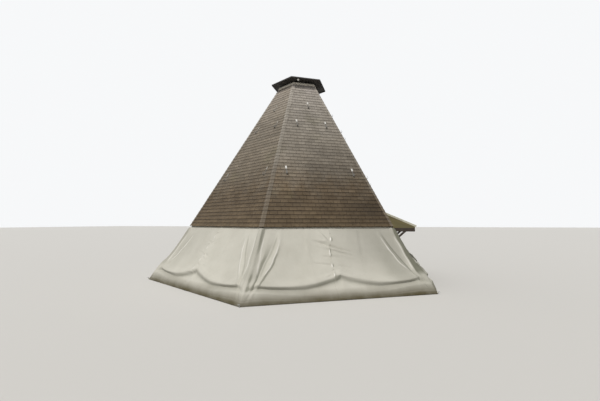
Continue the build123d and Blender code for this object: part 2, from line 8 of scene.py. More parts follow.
import numpy as np
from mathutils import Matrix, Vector


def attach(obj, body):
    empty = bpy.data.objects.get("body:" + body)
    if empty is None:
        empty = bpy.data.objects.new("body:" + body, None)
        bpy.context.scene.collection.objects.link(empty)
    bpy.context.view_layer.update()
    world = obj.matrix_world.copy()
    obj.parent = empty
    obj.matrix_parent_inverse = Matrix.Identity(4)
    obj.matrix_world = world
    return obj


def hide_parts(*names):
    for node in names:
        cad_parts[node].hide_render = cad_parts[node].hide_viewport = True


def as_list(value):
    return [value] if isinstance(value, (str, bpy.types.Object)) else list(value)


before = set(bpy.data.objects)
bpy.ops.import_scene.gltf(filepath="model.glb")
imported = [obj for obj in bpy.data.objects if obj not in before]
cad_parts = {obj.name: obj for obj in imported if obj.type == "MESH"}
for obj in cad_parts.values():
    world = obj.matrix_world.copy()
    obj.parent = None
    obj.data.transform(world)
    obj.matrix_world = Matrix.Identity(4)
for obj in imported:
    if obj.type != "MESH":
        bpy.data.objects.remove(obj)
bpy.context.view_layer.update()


# The view: a standing person's eye, eleven metres off, in front of the two sides to the left of the
# entrance, looking slightly up, as the photograph does. The floor is a plain pale sheet. The daylight is
# soft: a pale sky, dimmer on the entrance side, and a wide sun from in front and a little to the left.
class Nodes:
    """The nodes of a material, a group or the sky, with short ways to add to them."""

    def __init__(self, tree):
        self.tree = tree

    def fill(self, node, inputs):
        """Links a node's inputs to sockets or sets them to values, and gives its outputs."""
        for key, value in inputs.items():
            if isinstance(value, bpy.types.NodeSocket):
                self.tree.links.new(value, node.inputs[key])
            else:
                node.inputs[key].default_value = value
        return node.outputs

    def add(self, kind, inputs=(), **settings):
        node = self.tree.nodes.new("ShaderNode" + kind)
        for key, value in settings.items():
            setattr(node, key, value)
        return self.fill(node, dict(inputs))

    def math(self, kind, first, second=0.0, third=0.0):
        return self.add("Math", {0: first, 1: second, 2: third}, operation=kind)[0]

    def times(self, first, second, plus=0.0):
        """The first times the second, plus the third."""
        return self.math("MULTIPLY_ADD", first, second, plus)

    def spread(self, value, low, high, new_low=0.0, new_high=1.0):
        return self.add("MapRange", {0: value, 1: low, 2: high, 3: new_low, 4: new_high}, clamp=True)[0]

    def mix(self, share, first, second, mode="MIX"):
        return self.add("Mix", {0: share, 6: first, 7: second}, data_type="RGBA", blend_type=mode)[2]

    def layers(self, colour, *over):
        """A colour with others laid over it in turn, each (share, colour)."""
        for share, other in over:
            colour = self.mix(share, colour, other)
        return colour

    def stretched(self, vector, scale):
        return self.add("Mapping", {"Vector": vector, "Scale": scale})[0]

    def noise(self, vector, scale, detail, rough, stretch=None):
        vector = self.stretched(vector, stretch) if stretch else vector
        return self.add("TexNoise", {"Vector": vector, "Scale": scale, "Detail": detail,
                                     "Roughness": rough})[0]

    def parts(self, vector):
        return self.add("SeparateXYZ", {0: vector})

    def kept(self, name):
        """What a mesh keeps under a name for each of its points or faces."""
        return self.add("Attribute", attribute_name=name, attribute_type="GEOMETRY")

    def place(self):
        return self.add("TexCoord")["Object"]


class Finish(Nodes):
    """A material, with the nodes in front of its one shader."""

    def __init__(self, name):
        self.material = bpy.data.materials.new(name + "_finish")
        self.material.use_nodes = True
        super().__init__(self.material.node_tree)

    def done(self, base, roughness, height=None, depth=0.0, strength=0.0, shader=()):
        """Joins a colour, a roughness and a relief to the shader, with other values for it in shader."""
        values = {"Base Color": base, "Roughness": roughness, **dict(shader)}
        if height is not None:
            values["Normal"] = self.add("Bump", {"Height": height, "Distance": depth,
                                                 "Strength": strength})[0]
        self.fill(self.tree.nodes["Principled BSDF"], values)
        return self.material

    def from_group(self, group, inputs, depth, strength, shader=()):
        out = self.add("Group", inputs, node_tree=group.tree)
        return self.done(out["Color"], out["Roughness"], out["Height"], depth, strength, shader)


def set_up(name, data, place=(0, 0, 0), look=None):
    """Puts an object into the scene, turned to look along a direction."""
    made = bpy.data.objects.new(name, data)
    bpy.context.collection.objects.link(made)
    made.location = place
    if look is not None:
        made.rotation_euler = Vector(look).to_track_quat("-Z", "Y").to_euler()
    return made


EYE, LOOK = (2.842, -10.692, 1.670), (-0.2536, 0.9650, 0.0666)
FOCAL_PIXELS, FRAME_PIXELS, SENSOR, FAR_CLIP = 330, 600, 36.0, 400
camera = set_up("camera", bpy.data.cameras.new("camera"), EYE, LOOK)
camera.data.sensor_width, camera.data.clip_end = SENSOR, FAR_CLIP
camera.data.lens = SENSOR * FOCAL_PIXELS / FRAME_PIXELS
bpy.context.scene.camera = camera
bpy.context.scene.view_settings.view_transform = "Standard"

FLOOR_REACH = 120
floor_mesh = bpy.data.meshes.new("floor")
floor_mesh.from_pydata(
    [(x * FLOOR_REACH, y * FLOOR_REACH, 0) for x, y in ((-1, -1), (1, -1), (1, 1), (-1, 1))],
    [], [(0, 1, 2, 3)])
floor_mesh.materials.append(Finish("floor").done((0.62, 0.61, 0.59, 1), 0.9))
floor = set_up("floor", floor_mesh)

SKY_LIGHT, SKY_DIM, SKY_TURN = 0.46, 0.20, 0.7
world = bpy.data.worlds.new("sky")
bpy.context.scene.world = world
world.use_nodes = True
sky = Nodes(world.node_tree)
ray = sky.add("LightPath")
seen = sky.math("MAXIMUM", ray["Is Camera Ray"], ray["Is Glossy Ray"])
seen = sky.math("MAXIMUM", seen, ray["Is Transmission Ray"])
sky_way = sky.parts(sky.add("TexCoord")["Generated"])["X"]
daylight = sky.fill(world.node_tree.nodes["Background"], {
    "Color": (0.94, 0.97, 1.0, 1), "Strength": sky.spread(sky_way, -SKY_TURN, SKY_TURN, SKY_LIGHT, SKY_DIM)})
backdrop = sky.add("Background", {"Color": (0.93, 0.94, 0.95, 1), "Strength": 1.0})
sky.fill(world.node_tree.nodes["World Output"],
         {"Surface": sky.add("MixShader", {0: seen, 1: daylight[0], 2: backdrop[0]})[0]})

SUN_LIGHT, SUN_SPREAD, SUN_WAY = 2.6, radians(14), (0.07, 0.53, -0.845)
sun = set_up("sun", bpy.data.lights.new("sun", "SUN"), look=SUN_WAY)
sun.data.energy, sun.data.angle, sun.data.color = SUN_LIGHT, SUN_SPREAD, (1.0, 0.97, 0.92)


# The timber frame: sawn softwood posts, beams and rafters, bolted and nailed together, brown with age. Each
# timber keeps its CAD shape, gets small chamfers, and carries its own grain along its length. The canopy's
# timbers and the eaves board are stained dark, and darker still as painted shade.
class Group(Nodes):
    """A shader group that gives a colour, a roughness and a height. An input without a value is a vector."""

    def __init__(self, name, **inputs):
        super().__init__(bpy.data.node_groups.new(name, "ShaderNodeTree"))
        sockets = self.tree.interface
        for key, value in inputs.items():
            kind = "Vector" if value is None else "Color" if isinstance(value, tuple) else "Float"
            made = sockets.new_socket(key, in_out="INPUT", socket_type="NodeSocket" + kind)
            if value is not None:
                made.default_value = value
        for key, kind in (("Color", "Color"), ("Roughness", "Float"), ("Height", "Float")):
            sockets.new_socket(key, in_out="OUTPUT", socket_type="NodeSocket" + kind)
        self.given = self.tree.nodes.new("NodeGroupInput").outputs

    def done(self, colour, roughness, height):
        self.fill(self.tree.nodes.new("NodeGroupOutput"),
                  {"Color": colour, "Roughness": roughness, "Height": height})


# Wood grain, used by every timber and board: stretched along the piece, with rings, streaks and small splits
timber = Group("wood_grain", Vector=None, Light=(0.4, 0.3, 0.2, 1), Dark=(0.2, 0.14, 0.08, 1),
               Weather=(0.3, 0.28, 0.25, 1), Weathering=0.4, Tone=0.5)
given = timber.given
streaks = timber.noise(given["Vector"], 1.6, 6, 0.62, (1.3, 16, 16))
fibres = timber.noise(given["Vector"], 1.0, 3, 0.5, (6, 240, 240))
blotches = timber.noise(given["Vector"], 1.2, 4, 0.6, (0.8, 3, 3))
year_rings = timber.add("TexWave", {"Vector": timber.stretched(given["Vector"], (0.35, 9, 9)), "Scale": 1.5,
                                    "Distortion": 5.5, "Detail": 3.0, "Detail Scale": 0.8},
                        wave_type="RINGS")[1]
figure = timber.times(year_rings, 0.45, timber.times(streaks, 0.6))
figure = timber.times(timber.math("SUBTRACT", given["Tone"], 0.5), 0.55, figure)
bare_wood = timber.mix(timber.spread(figure, 0.25, 0.8), given["Dark"], given["Light"])
greyed = timber.times(timber.spread(blotches, 0.35, 0.7), given["Weathering"])
timber.done(timber.mix(greyed, bare_wood, given["Weather"]), timber.spread(streaks, 0.3, 0.7, 0.62, 0.85),
            timber.times(fibres, 0.5, figure))


def wood(name, light, dark, weather, weathering):
    made = Finish(name)
    return made.from_group(timber, {"Vector": made.kept("grain")["Vector"], "Light": light, "Dark": dark,
                                    "Weather": weather, "Weathering": weathering,
                                    "Tone": made.kept("tone")["Fac"]}, 0.0015, 0.5)


def new_piece(name, mesh, finish, node=None, smooth=False):
    """A piece on the hut's one body, which may take the place of a node of the frame."""
    mesh.materials.clear()
    mesh.materials.append(finish)
    mesh.polygons.foreach_set("use_smooth", [smooth] * len(mesh.polygons))
    made = set_up(name, mesh)
    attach(made, "root")
    if node:
        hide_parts(node)
    return made


WELD, FLAT_ANGLE, EDGE_ANGLE, THIN_CHAMFER = 1e-5, radians(0.5), radians(25), 0.002


def dressed(node, finish, chamfer, seed=3):
    """The node's own solids with chamfered edges, each solid with its grain along its longest direction."""
    shape = bmesh.new()
    shape.from_mesh(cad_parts[node].data)
    bmesh.ops.remove_doubles(shape, verts=shape.verts, dist=WELD)
    bmesh.ops.dissolve_limit(shape, angle_limit=FLAT_ANGLE, verts=shape.verts, edges=shape.edges)
    shape.verts.ensure_lookup_table()
    grain = shape.verts.layers.float_vector.new("grain")
    tone = shape.verts.layers.float.new("tone")
    draws, seen = random.Random(seed), set()
    for start in shape.verts:
        if start in seen:
            continue
        solid, queue = [], [start]
        seen.add(start)
        while queue:
            vert = queue.pop()
            solid.append(vert)
            for edge in vert.link_edges:
                other = edge.other_vert(vert)
                if other not in seen:
                    seen.add(other)
                    queue.append(other)
        points = np.array([vert.co[:] for vert in solid])
        centre = points.mean(axis=0)
        axes = np.linalg.svd(points - centre)[2]
        shift = np.array([draws.uniform(0, 40) for _ in range(3)])
        shade = draws.uniform(0.25, 0.75)
        for vert, place in zip(solid, (points - centre) @ axes.T + shift):
            vert[grain], vert[tone] = Vector(place), shade
    sharp = [edge for edge in shape.edges
             if len(edge.link_faces) == 2 and edge.calc_face_angle(0) > EDGE_ANGLE]
    bmesh.ops.bevel(shape, geom=sharp, offset=chamfer, segments=1 if chamfer < THIN_CHAMFER else 2,
                    profile=0.6, affect="EDGES", clamp_overlap=True)
    mesh = bpy.data.meshes.new(node + "_dressed")
    shape.to_mesh(mesh)
    shape.free()
    return new_piece(node + "_dressed", mesh, finish, node)


frame_wood = wood("frame_timber", (0.30, 0.205, 0.12, 1), (0.15, 0.093, 0.05, 1), (0.21, 0.185, 0.15, 1), 0.5)
stained_and_shaded_wood = wood("stained_and_shaded_timber", (0.060, 0.042, 0.029, 1), (0.026, 0.018, 0.012, 1),
                    (0.085, 0.072, 0.055, 1), 0.3)
BEAM_CHAMFER, BOARD_CHAMFER = 0.004, 0.003
for node in ("corner_posts", "door_posts", "eaves_beams", "hip_rafters", "rafters"):
    dressed(node, frame_wood, BEAM_CHAMFER, len(node))
for node in ("canopy_beams", "canopy_braces", "canopy_rafters"):
    dressed(node, stained_and_shaded_wood, BEAM_CHAMFER, len(node))
dressed("eaves_fascia", stained_and_shaded_wood, BOARD_CHAMFER, 11)

# The steel fittings: the shoes under the posts, the ring in the throat, the cap's brackets and the pegs,
# bolted to the timber or driven into the ground. Galvanised, dull grey with the spangle of hot-dip zinc, a
# little darker where water stands.
patina = Group("metal_patina", Vector=None, Metal=(0.5, 0.5, 0.5, 1), Stain=(0.3, 0.3, 0.28, 1), Spangle=60.0,
               Staining=0.5, Polish=0.4)
given = patina.given
crystals = patina.add("TexVoronoi", {"Vector": given["Vector"], "Scale": given["Spangle"]},
                      feature="F1")["Color"]
crystals = patina.add("SeparateColor", {0: crystals})[0]
runs = patina.noise(given["Vector"], 1.0, 5, 0.6, (14, 14, 2.2))
clouds = patina.noise(given["Vector"], 7.0, 5, 0.65)
stained = patina.times(patina.spread(patina.math("ADD", runs, clouds), 0.85, 1.3), given["Staining"])
bright = patina.mix(patina.spread(crystals, 0, 1, 0.0, 0.3), given["Metal"], (0.92, 0.92, 0.92, 1),
                    "MULTIPLY")
patina.done(patina.mix(stained, bright, given["Stain"]),
            patina.times(crystals, 0.12, patina.times(stained, 0.3, given["Polish"])),
            patina.times(crystals, 0.3, clouds))


def metal(name, colour, stain, spangle, staining, polish, metallic):
    made = Finish(name)
    return made.from_group(patina, {"Vector": made.place(), "Metal": colour, "Stain": stain,
                                    "Spangle": spangle, "Staining": staining, "Polish": polish},
                           0.0006, 0.35, {"Metallic": metallic})


galvanised = metal("galvanised_steel", (0.60, 0.61, 0.61, 1), (0.30, 0.29, 0.26, 1), 90.0, 0.6, 0.34, 0.75)
for node, chamfer in (("post_shoes", 0.0015), ("throat_ring", 0.0015), ("smoke_cap_brackets", 0.0015),
                      ("ground_pegs", 0.001)):
    dressed(node, galvanised, chamfer)

# The roof boards: planed softwood boards nailed level across the rafters from the eaves up, 145 mm to the
# course, chamfered on the underside where they show inside the hut.
EAVE_SIDE, THROAT_SIDE = 3.460, 0.670
EAVE_HEIGHT, THROAT_HEIGHT = 1.570, 6.200
HALF_TURN = radians(30)
EAVE_APOTHEM = EAVE_SIDE * cos(HALF_TURN)
SLOPE_RUN, SLOPE_RISE = (EAVE_SIDE - THROAT_SIDE) * cos(HALF_TURN), THROAT_HEIGHT - EAVE_HEIGHT
SLOPE_LENGTH = hypot(SLOPE_RUN, SLOPE_RISE)
UP_IN, UP_UP = SLOPE_RUN / SLOPE_LENGTH, SLOPE_RISE / SLOPE_LENGTH
HIP_LEAN = tan(HALF_TURN) * UP_IN
SIDES = ("entrance", "front_right", "rear_right", "rear", "rear_left", "front_left")
SLATE_LAYER, BOARD = 0.014, 0.024
BOARD_COURSE, BOARD_GAP, BOARD_START, JOINTED_BELOW = 0.145, 0.002, 0.040, 2.6
BOARD_REACH, JOINT_REACH, LEAST_BOARD, LEAST_AREA = 2.0, 1.6, 0.02, 4e-5


def side_frame(side):
    """Unit vectors out of a side and along it. The sides are counted round from the entrance."""
    turn = np.asarray(side) * radians(60)
    return (np.stack([np.cos(turn), np.sin(turn), 0 * turn], -1),
            np.stack([-np.sin(turn), np.cos(turn), 0 * turn], -1))


def on_side(out, along, height, side):
    """Points so far out from the middle, along a side and above the ground."""
    ways = (*side_frame(side), np.array([0, 0, 1.0]))
    return sum(np.asarray(value)[..., None] * way for value, way in zip((out, along, height), ways))


def slope_points(points, side):
    """Points given along the eave, up the slope and out of the roof, put on a side."""
    along, up, out = np.asarray(points, float).T
    return on_side(EAVE_APOTHEM - up * UP_IN + out * UP_UP, along,
                   EAVE_HEIGHT + up * UP_UP + out * UP_IN, side)


def hip_reach(up, out=0.0):
    """Half the width of a side at a point up its slope, out to the hip."""
    return tan(HALF_TURN) * (EAVE_APOTHEM - up * UP_IN + out * UP_UP)


def clipped(outline, *cuts):
    """The part of a convex outline where a x + b y is at most c, for each cut (a, b, c)."""
    for a, b, c in cuts:
        kept = []
        for (x0, y0), (x1, y1) in zip(outline, outline[1:] + outline[:1]):
            d0, d1 = a * x0 + b * y0 - c, a * x1 + b * y1 - c
            if d0 <= 0:
                kept.append((x0, y0))
            if d0 * d1 < 0:
                t = d0 / (d0 - d1)
                kept.append((x0 + (x1 - x0) * t, y0 + (y1 - y0) * t))
        outline = kept
    return outline


def rectangle(left, right, low, high):
    return [(left, low), (right, low), (right, high), (left, high)]


def keep(mesh, name, values, domain="POINT"):
    """Keeps a value or a vector for each point or face of a mesh."""
    values = np.asarray(values, np.float32)
    kind, field = ("FLOAT_VECTOR", "vector") if values.ndim > 1 else ("FLOAT", "value")
    mesh.attributes.new(name, kind, domain).data.foreach_set(field, values.ravel())


class Courses:
    """Many thin solids laid in courses, gathered into one mesh, each with its tone and grain.

    The grain's third value says how far up its solid a point lies, in courses from the tail. The values in
    across say how far it lies from the middle of the solid's span, in shares of the width."""

    def __init__(self):
        self.points, self.faces, self.tones, self.rims, self.grain, self.across = [], [], [], [], [], []

    def stack(self, rings, tone, rims, shift, start=0.0, course=1.0, span=(0.0, 0.0), flip=False):
        """One solid between three rings of points. rims marks the chamfers: two ends, then the sides."""
        n, first = len(rings[0]), len(self.points)
        for ring in rings:
            self.points += ring
            self.grain += [(x + shift, y + 3 * shift, (y - start) / course) for x, y, _ in ring]
            self.across += [(x - span[0]) / span[1] - 0.5 if span[1] else 0.0 for x, _, _ in ring]
        faces = [tuple(reversed(range(n))), tuple(range(2 * n, 3 * n))]
        for low in (0, n):
            faces += [(low + i, low + (i + 1) % n, low + n + (i + 1) % n, low + n + i) for i in range(n)]
        self.faces += [tuple(first + i for i in (face[::-1] if flip else face)) for face in faces]
        self.tones += [tone] * len(faces)
        self.rims += rims

    def lay(self, outline, top, thickness, chamfer, tone, shift=0.0, underside=False, **where):
        """One solid over an outline. top(x, y) is its upper face; its upper or lower edge is chamfered."""
        area = sum(x0 * y1 - x1 * y0 for (x0, y0), (x1, y1) in zip(outline, outline[1:] + outline[:1])) / 2
        if len(outline) < 3 or abs(area) < LEAST_AREA:
            return
        if area < 0:
            outline = outline[::-1]
        middle, n = np.mean(outline, axis=0), len(outline)
        inset = []
        for x, y in outline:
            reach = hypot(middle[0] - x, middle[1] - y)
            share = min(chamfer * 1.3 / max(reach, 1e-6), 0.4)
            inset.append((x + (middle[0] - x) * share, y + (middle[1] - y) * share))
        if underside:
            rings = (inset, thickness), (outline, thickness - chamfer), (outline, 0.0)
        else:
            rings = (outline, thickness), (outline, chamfer), (inset, 0.0)
        rims = [0.0] * n + [1.0] * n
        self.stack([[(x, y, top(x, y) - drop) for x, y in ring] for ring, drop in rings], tone,
                   [0.0, 0.0] + (rims[::-1] if underside else rims), shift, **where)

    def board(self, outline, top, thickness, draws):
        """A board with its own tone and grain, the edges of its lower face chamfered."""
        tone, shift = draws.uniform(0.1, 0.9), draws.uniform(0, 9)
        self.lay(outline, lambda x, y: top, thickness, BOARD_CHAMFER, tone, shift, True)

    def mesh(self, name, place, *side):
        made = bpy.data.meshes.new(name)
        made.from_pydata(place(self.points, *side).tolist(), [], self.faces)
        keep(made, "tone", self.tones, "FACE")
        keep(made, "rim", self.rims, "FACE")
        keep(made, "grain", self.grain)
        keep(made, "across", self.across)
        made.validate()
        return made


board_wood = wood("board_timber", (0.40, 0.28, 0.145, 1), (0.22, 0.14, 0.07, 1), (0.26, 0.22, 0.16, 1), 0.45)
for side, name in enumerate(SIDES):
    draws, boards, up = random.Random(40 + side), Courses(), BOARD_START
    reach = hip_reach(0, -SLATE_LAYER - BOARD)
    while up < SLOPE_LENGTH - LEAST_BOARD:
        top = min(up + BOARD_COURSE - BOARD_GAP, SLOPE_LENGTH)
        joints = [-BOARD_REACH, BOARD_REACH]
        if up < JOINTED_BELOW:
            joints.insert(1, draws.uniform(-JOINT_REACH, JOINT_REACH))
        for left, right in zip(joints, joints[1:]):
            board = rectangle(left + BOARD_GAP / 2, right - BOARD_GAP / 2, up, top)
            board = clipped(board, (1, HIP_LEAN, reach), (-1, HIP_LEAN, reach))
            boards.board(board, -SLATE_LAYER, BOARD, draws)
        up += BOARD_COURSE
    new_piece("boards_" + name, boards.mesh("boards_" + name, slope_points, side), board_wood,
              "roof_boards_" + name)


# The slates: split slate 200 mm wide and 300 mm long, nailed in half bond with 113 mm showing. Their tails
# are hand dressed, so each edge is a little ragged, and no two lie quite alike. Weather has bleached them
# towards the top, wood smoke and moss have browned them lower down, and dirt with a painted shadow lies
# under each tail. Each tail and chamfer carries a painted highlight.
SLATE_WIDTH, SLATE_LENGTH, SLATE_ROWS, SLATE_THICK = 0.200, 0.300, 46, 0.0052
SLATE_COURSE, SLATE_TAIL, SLATE_CHAMFER = SLOPE_LENGTH / SLATE_ROWS, 0.0045, 0.0016
# How single slates differ: their joints, slip, turn, ragged tails, broken corners, lift, tip and thickness
JOINT, SLIP, TURN, RAGGED_BY, RAGGED_AT = (0.0008, 0.002), 0.0018, 0.006, 0.0011, (0, 0.24, 0.5, 0.77, 1)
CHIPPED, CHIP, LIFT, TIP, THICKER = 0.06, (0.004, 0.010), (-0.0006, 0.0014), 0.0008, (-0.0005, 0.0008)
ROW_TONE, MEAN_TONE, TONE_SPREAD, HIP_CUT, TOP_CUT = 0.24, 0.45, 0.2, 0.004, 0.002
# The slates' colour by height above the ground
LOWEST, HIGHEST = 1.5, 6.3
WEATHERING = ((1.6, (0.106, 0.077, 0.045, 1)), (2.4, (0.113, 0.084, 0.053, 1)),
              (3.2, (0.148, 0.128, 0.102, 1)), (3.9, (0.218, 0.194, 0.161, 1)),
              (4.9, (0.275, 0.250, 0.215, 1)), (5.6, (0.338, 0.309, 0.274, 1)),
              (6.2, (0.410, 0.375, 0.345, 1)))
# Row is 0 at a slate's tail and 1 at the tail above it, Across is half a width at either of its sides
aged = Group("weathered_slate", Grain=None, Place=None, Tone=0.5, Rim=0.0, Row=0.5, Across=0.0, Pale=0.0,
             Under=0.8, Browned=0.0, Wash_and_shade=0.0)
given = aged.given
height = aged.parts(given["Place"])[2]
cleft = aged.noise(given["Grain"], 2.2, 7, 0.6, (9, 5, 1))
riven = aged.noise(given["Grain"], 1.4, 3, 0.5, (60, 25, 1))
patches = aged.noise(given["Place"], 1.15, 5, 0.6)
drifts = aged.noise(given["Place"], 1.0, 4, 0.6, (3.2, 3.2, 0.9))
smoke = aged.noise(given["Place"], 2.3, 6, 0.7, (1, 1, 2.2))
shifted = aged.math("ADD", height, aged.spread(drifts, 0.25, 0.75, -0.4, 0.4))
ramp = aged.add("ValToRGB", {0: aged.spread(shifted, LOWEST, HIGHEST)})[0]
stops = ramp.node.color_ramp.elements
for i, (level, colour) in enumerate(WEATHERING):
    share = (level - LOWEST) / (HIGHEST - LOWEST)
    stop = stops[i] if i < 2 else stops.new(share)
    stop.position, stop.color = share, colour
toned = aged.times(given["Tone"], 0.34, aged.times(cleft, 0.4, 0.65))
toned = aged.times(toned, given["Wash_and_shade"], toned)
toned = aged.add("CombineColor", {0: toned, 1: toned, 2: toned})[0]
browned = aged.times(given["Browned"], aged.spread(height, 2.4, 3.6, 0.2, 1.0))
low_down = aged.spread(height, 3.6, 2.4)
face_colour = aged.layers(
    aged.mix(1.0, aged.mix(browned, ramp, (0.20, 0.155, 0.10, 1)), toned, "MULTIPLY"),
    (aged.spread(patches, 0.60, 0.75, 0.0, 0.30), (0.155, 0.150, 0.085, 1)),
    (aged.times(aged.spread(smoke, 0.42, 0.64, 0.0, 0.50), low_down), (0.040, 0.026, 0.012, 1)),
    (given["Pale"], (0.40, 0.375, 0.33, 1)))
# Painted highlight: each slate's tail and the chamfers of its edges are lightened, as if lit.
tail_highlight = aged.math("MAXIMUM", aged.times(given["Rim"], 0.5), aged.spread(
    given["Row"], 0.34, 0.05, 0.0, aged.spread(height, 2.2, 4.2, 0.30, 0.16)))
face_colour = aged.mix(tail_highlight, face_colour, aged.mix(1.0, face_colour, (1.75, 1.70, 1.65, 1), "MULTIPLY"))
# Dirt with a painted shadow just under the tail above each slate, and dark joints at its sides; Under sets
# how strong they are.
joint_dirt = aged.times(aged.spread(aged.math("ABSOLUTE", given["Across"]), 0.425, 0.48), 0.42)
dirt_and_shadow = aged.times(aged.math("MAXIMUM", aged.spread(given["Row"], 0.60, 0.92), joint_dirt), given["Under"])
dirt_and_shadow_colour = aged.mix(low_down, (0.28, 0.26, 0.26, 1), (0.12, 0.09, 0.06, 1))
aged.done(aged.mix(dirt_and_shadow, face_colour, aged.mix(1.0, face_colour, dirt_and_shadow_colour, "MULTIPLY")),
          aged.spread(riven, 0.3, 0.7, 0.55, 0.75), aged.times(riven, 0.35, cleft))


def slate(name, pale, under):
    made = Finish(name)
    grain = made.kept("grain")["Vector"]
    values = {key: made.kept(key.lower())["Fac"] for key in ("Tone", "Rim", "Across", "Browned", "Wash_and_shade")}
    return made.from_group(aged, {"Grain": grain, "Place": made.place(), "Row": made.parts(grain)[2],
                                  "Pale": pale, "Under": under, **values},
                           0.0022, 0.6, {"Specular IOR Level": 0.22})


def slate_courses(courses, draws, rows, length, top_edge, *cuts):
    """Lays rows of slates in half bond, clipped to the roof. top_edge is the last slate's top."""
    for row in range(rows):
        tail, row_tone = row * SLATE_COURSE, draws.uniform(-ROW_TONE, ROW_TONE)
        start = -int(length / SLATE_WIDTH / 2 + 2) * SLATE_WIDTH + (SLATE_WIDTH / 2 if row % 2 else 0.0)
        for k in range(int(length / SLATE_WIDTH) + 5):
            left = start + k * SLATE_WIDTH + draws.uniform(*JOINT)
            right = start + (k + 1) * SLATE_WIDTH - draws.uniform(*JOINT)
            slip, turn = draws.uniform(-SLIP, SLIP), draws.uniform(-TURN, TURN)
            head = min(tail + SLATE_LENGTH, top_edge)
            ragged = [(left + (right - left) * t, tail + slip + turn * (t - 0.5) * SLATE_WIDTH
                       + draws.uniform(-RAGGED_BY, RAGGED_BY)) for t in RAGGED_AT]
            if draws.random() < CHIPPED:
                corner = draws.choice((0, -1))
                ragged[corner] = (ragged[corner][0], ragged[corner][1] + draws.uniform(*CHIP))
            lift, tip = draws.uniform(*LIFT), draws.uniform(-TIP, TIP)
            thick = SLATE_THICK + draws.uniform(*THICKER)

            def face(x, y):
                fall = (y - tail) / SLATE_COURSE * SLATE_THICK
                return SLATE_TAIL + lift - fall + tip * (x - left) / SLATE_WIDTH

            tone = min(max(draws.gauss(MEAN_TONE, TONE_SPREAD) + row_tone, 0.0), 1.0)
            courses.lay(clipped(ragged + [(right, head), (left, head)], *cuts), face, thick, SLATE_CHAMFER,
                        tone, draws.uniform(0, 30), start=tail, course=SLATE_COURSE,
                        span=(start + k * SLATE_WIDTH, SLATE_WIDTH))


def eased(value, low, high):
    share = np.clip((value - low) / (high - low), 0, 1)
    return share * share * (3 - 2 * share)


def plateau(value, low, full, still, end):
    """Rises from 0 to 1 between the first two marks and falls back between the last two."""
    return eased(value, low, full) * (1 - eased(value, still, end))


def bump(value, middle, width):
    return np.exp(-((value - middle) / width) ** 2)


def wash_and_shade(name, points):
    """How much paler or darker than its height each point of a side is. A rain wash pales the side left of
    the entrance by its hip away from the entrance, painted shade darkens the same side low down by its hip
    towards the entrance, and the rear left side is darker about 4.4 m up.
    """
    along, up, _ = np.asarray(points, float).T
    height, reach = EAVE_HEIGHT + up * UP_UP, hip_reach(up)
    if name == "rear_left":
        return -0.20 * bump(height, 4.4, 0.8)
    if name == "front_left":
        rained = plateau(height, 2.20, 2.50, 2.9, 4.0) * (1 - eased(reach + along, 0.5, 1.15))
        # Painted shade: darker low down by the hip towards the entrance.
        shaded_zone = plateau(height, 1.62, 1.90, 2.05, 2.5) * (1 - eased(reach - along, 0.3, 1.7))
        return 0.58 * rained - 0.50 * shaded_zone
    return 0 * height


slate_finish = slate("slate", 0.0, 0.76)
# How brown wood smoke has turned each side, the far left one most
BROWNED = (0.10, 0.05, 0.15, 0.20, 0.40, 0.0)
for side, name in enumerate(SIDES):
    slates, reach = Courses(), hip_reach(0) - HIP_CUT
    slate_courses(slates, random.Random(100 + side), SLATE_ROWS, 2 * hip_reach(0), SLOPE_LENGTH,
                  (1, HIP_LEAN, reach), (-1, HIP_LEAN, reach), (0, 1, SLOPE_LENGTH - TOP_CUT))
    laid = slates.mesh("laid_slates_" + name, slope_points, side)
    keep(laid, "browned", [BROWNED[side]] * len(laid.vertices))
    keep(laid, "wash_and_shade", wash_and_shade(name, slates.points))
    new_piece("laid_slates_" + name, laid, slate_finish, "slates_" + name)

# The hip slates: narrow slates in pairs, one on each side of the hip, bedded over the ends of the courses
# and mitred on the hip line. They have weathered paler and greyer than the roof.
HIP_WIDTH, HIP_OVER, HIP_LAP, HIP_THICK, HIP_JOINT = 0.065, 0.0125, 0.060, 0.0062, 0.0003
SHORTEST, FLASHING_LEG, HIP_SLIP, HIP_RAGGED, HIP_RISE = 0.03, 0.075, 0.0015, 0.002, (-0.0006, 0.0012)
hip_across = HIP_WIDTH * hypot(1, HIP_LEAN)
hips, hip_sides, draws = Courses(), [], random.Random(7)
for side in range(len(SIDES)):
    for hand in (-1, 1):
        for row in range(SLATE_ROWS):
            tail = row * SLATE_COURSE + draws.uniform(-HIP_SLIP, HIP_SLIP)
            head = min(tail + SLATE_COURSE + HIP_LAP, SLOPE_LENGTH - FLASHING_LEG / 2)
            if head - tail < SHORTEST:
                continue
            tone, rise = draws.uniform(0.1, 0.9), draws.uniform(*HIP_RISE)
            inner = draws.uniform(-HIP_RAGGED, HIP_RAGGED) - hip_across

            def level(up, drop):
                return HIP_OVER + rise - (up - tail) * HIP_THICK / SLATE_COURSE - drop

            rings = []
            for drop, inset in ((HIP_THICK, 0.0), (SLATE_CHAMFER, 0.0), (0.0, SLATE_CHAMFER)):
                low, high = tail + inset, head - inset
                ring = [(hip_reach(tail) + inner + inset, low),
                        (hip_reach(low, level(low, drop)) - HIP_JOINT, low),
                        (hip_reach(high, level(high, drop)) - HIP_JOINT, high),
                        (hip_reach(head) + inner + inset, high)]
                rings.append([(hand * x, y, level(y, drop)) for x, y in ring])
            hips.stack(rings, tone, [0, 0, 0, 0, 0, 0, 1, 0, 1, 1], draws.uniform(0, 30), tail, SLATE_COURSE,
                       flip=hand < 0)
            hip_sides += [side] * 12
new_piece("laid_hip_slates", hips.mesh("laid_hip_slates", slope_points, hip_sides),
          slate("hip_slate", 0.17, 0.45), "hip_slates")

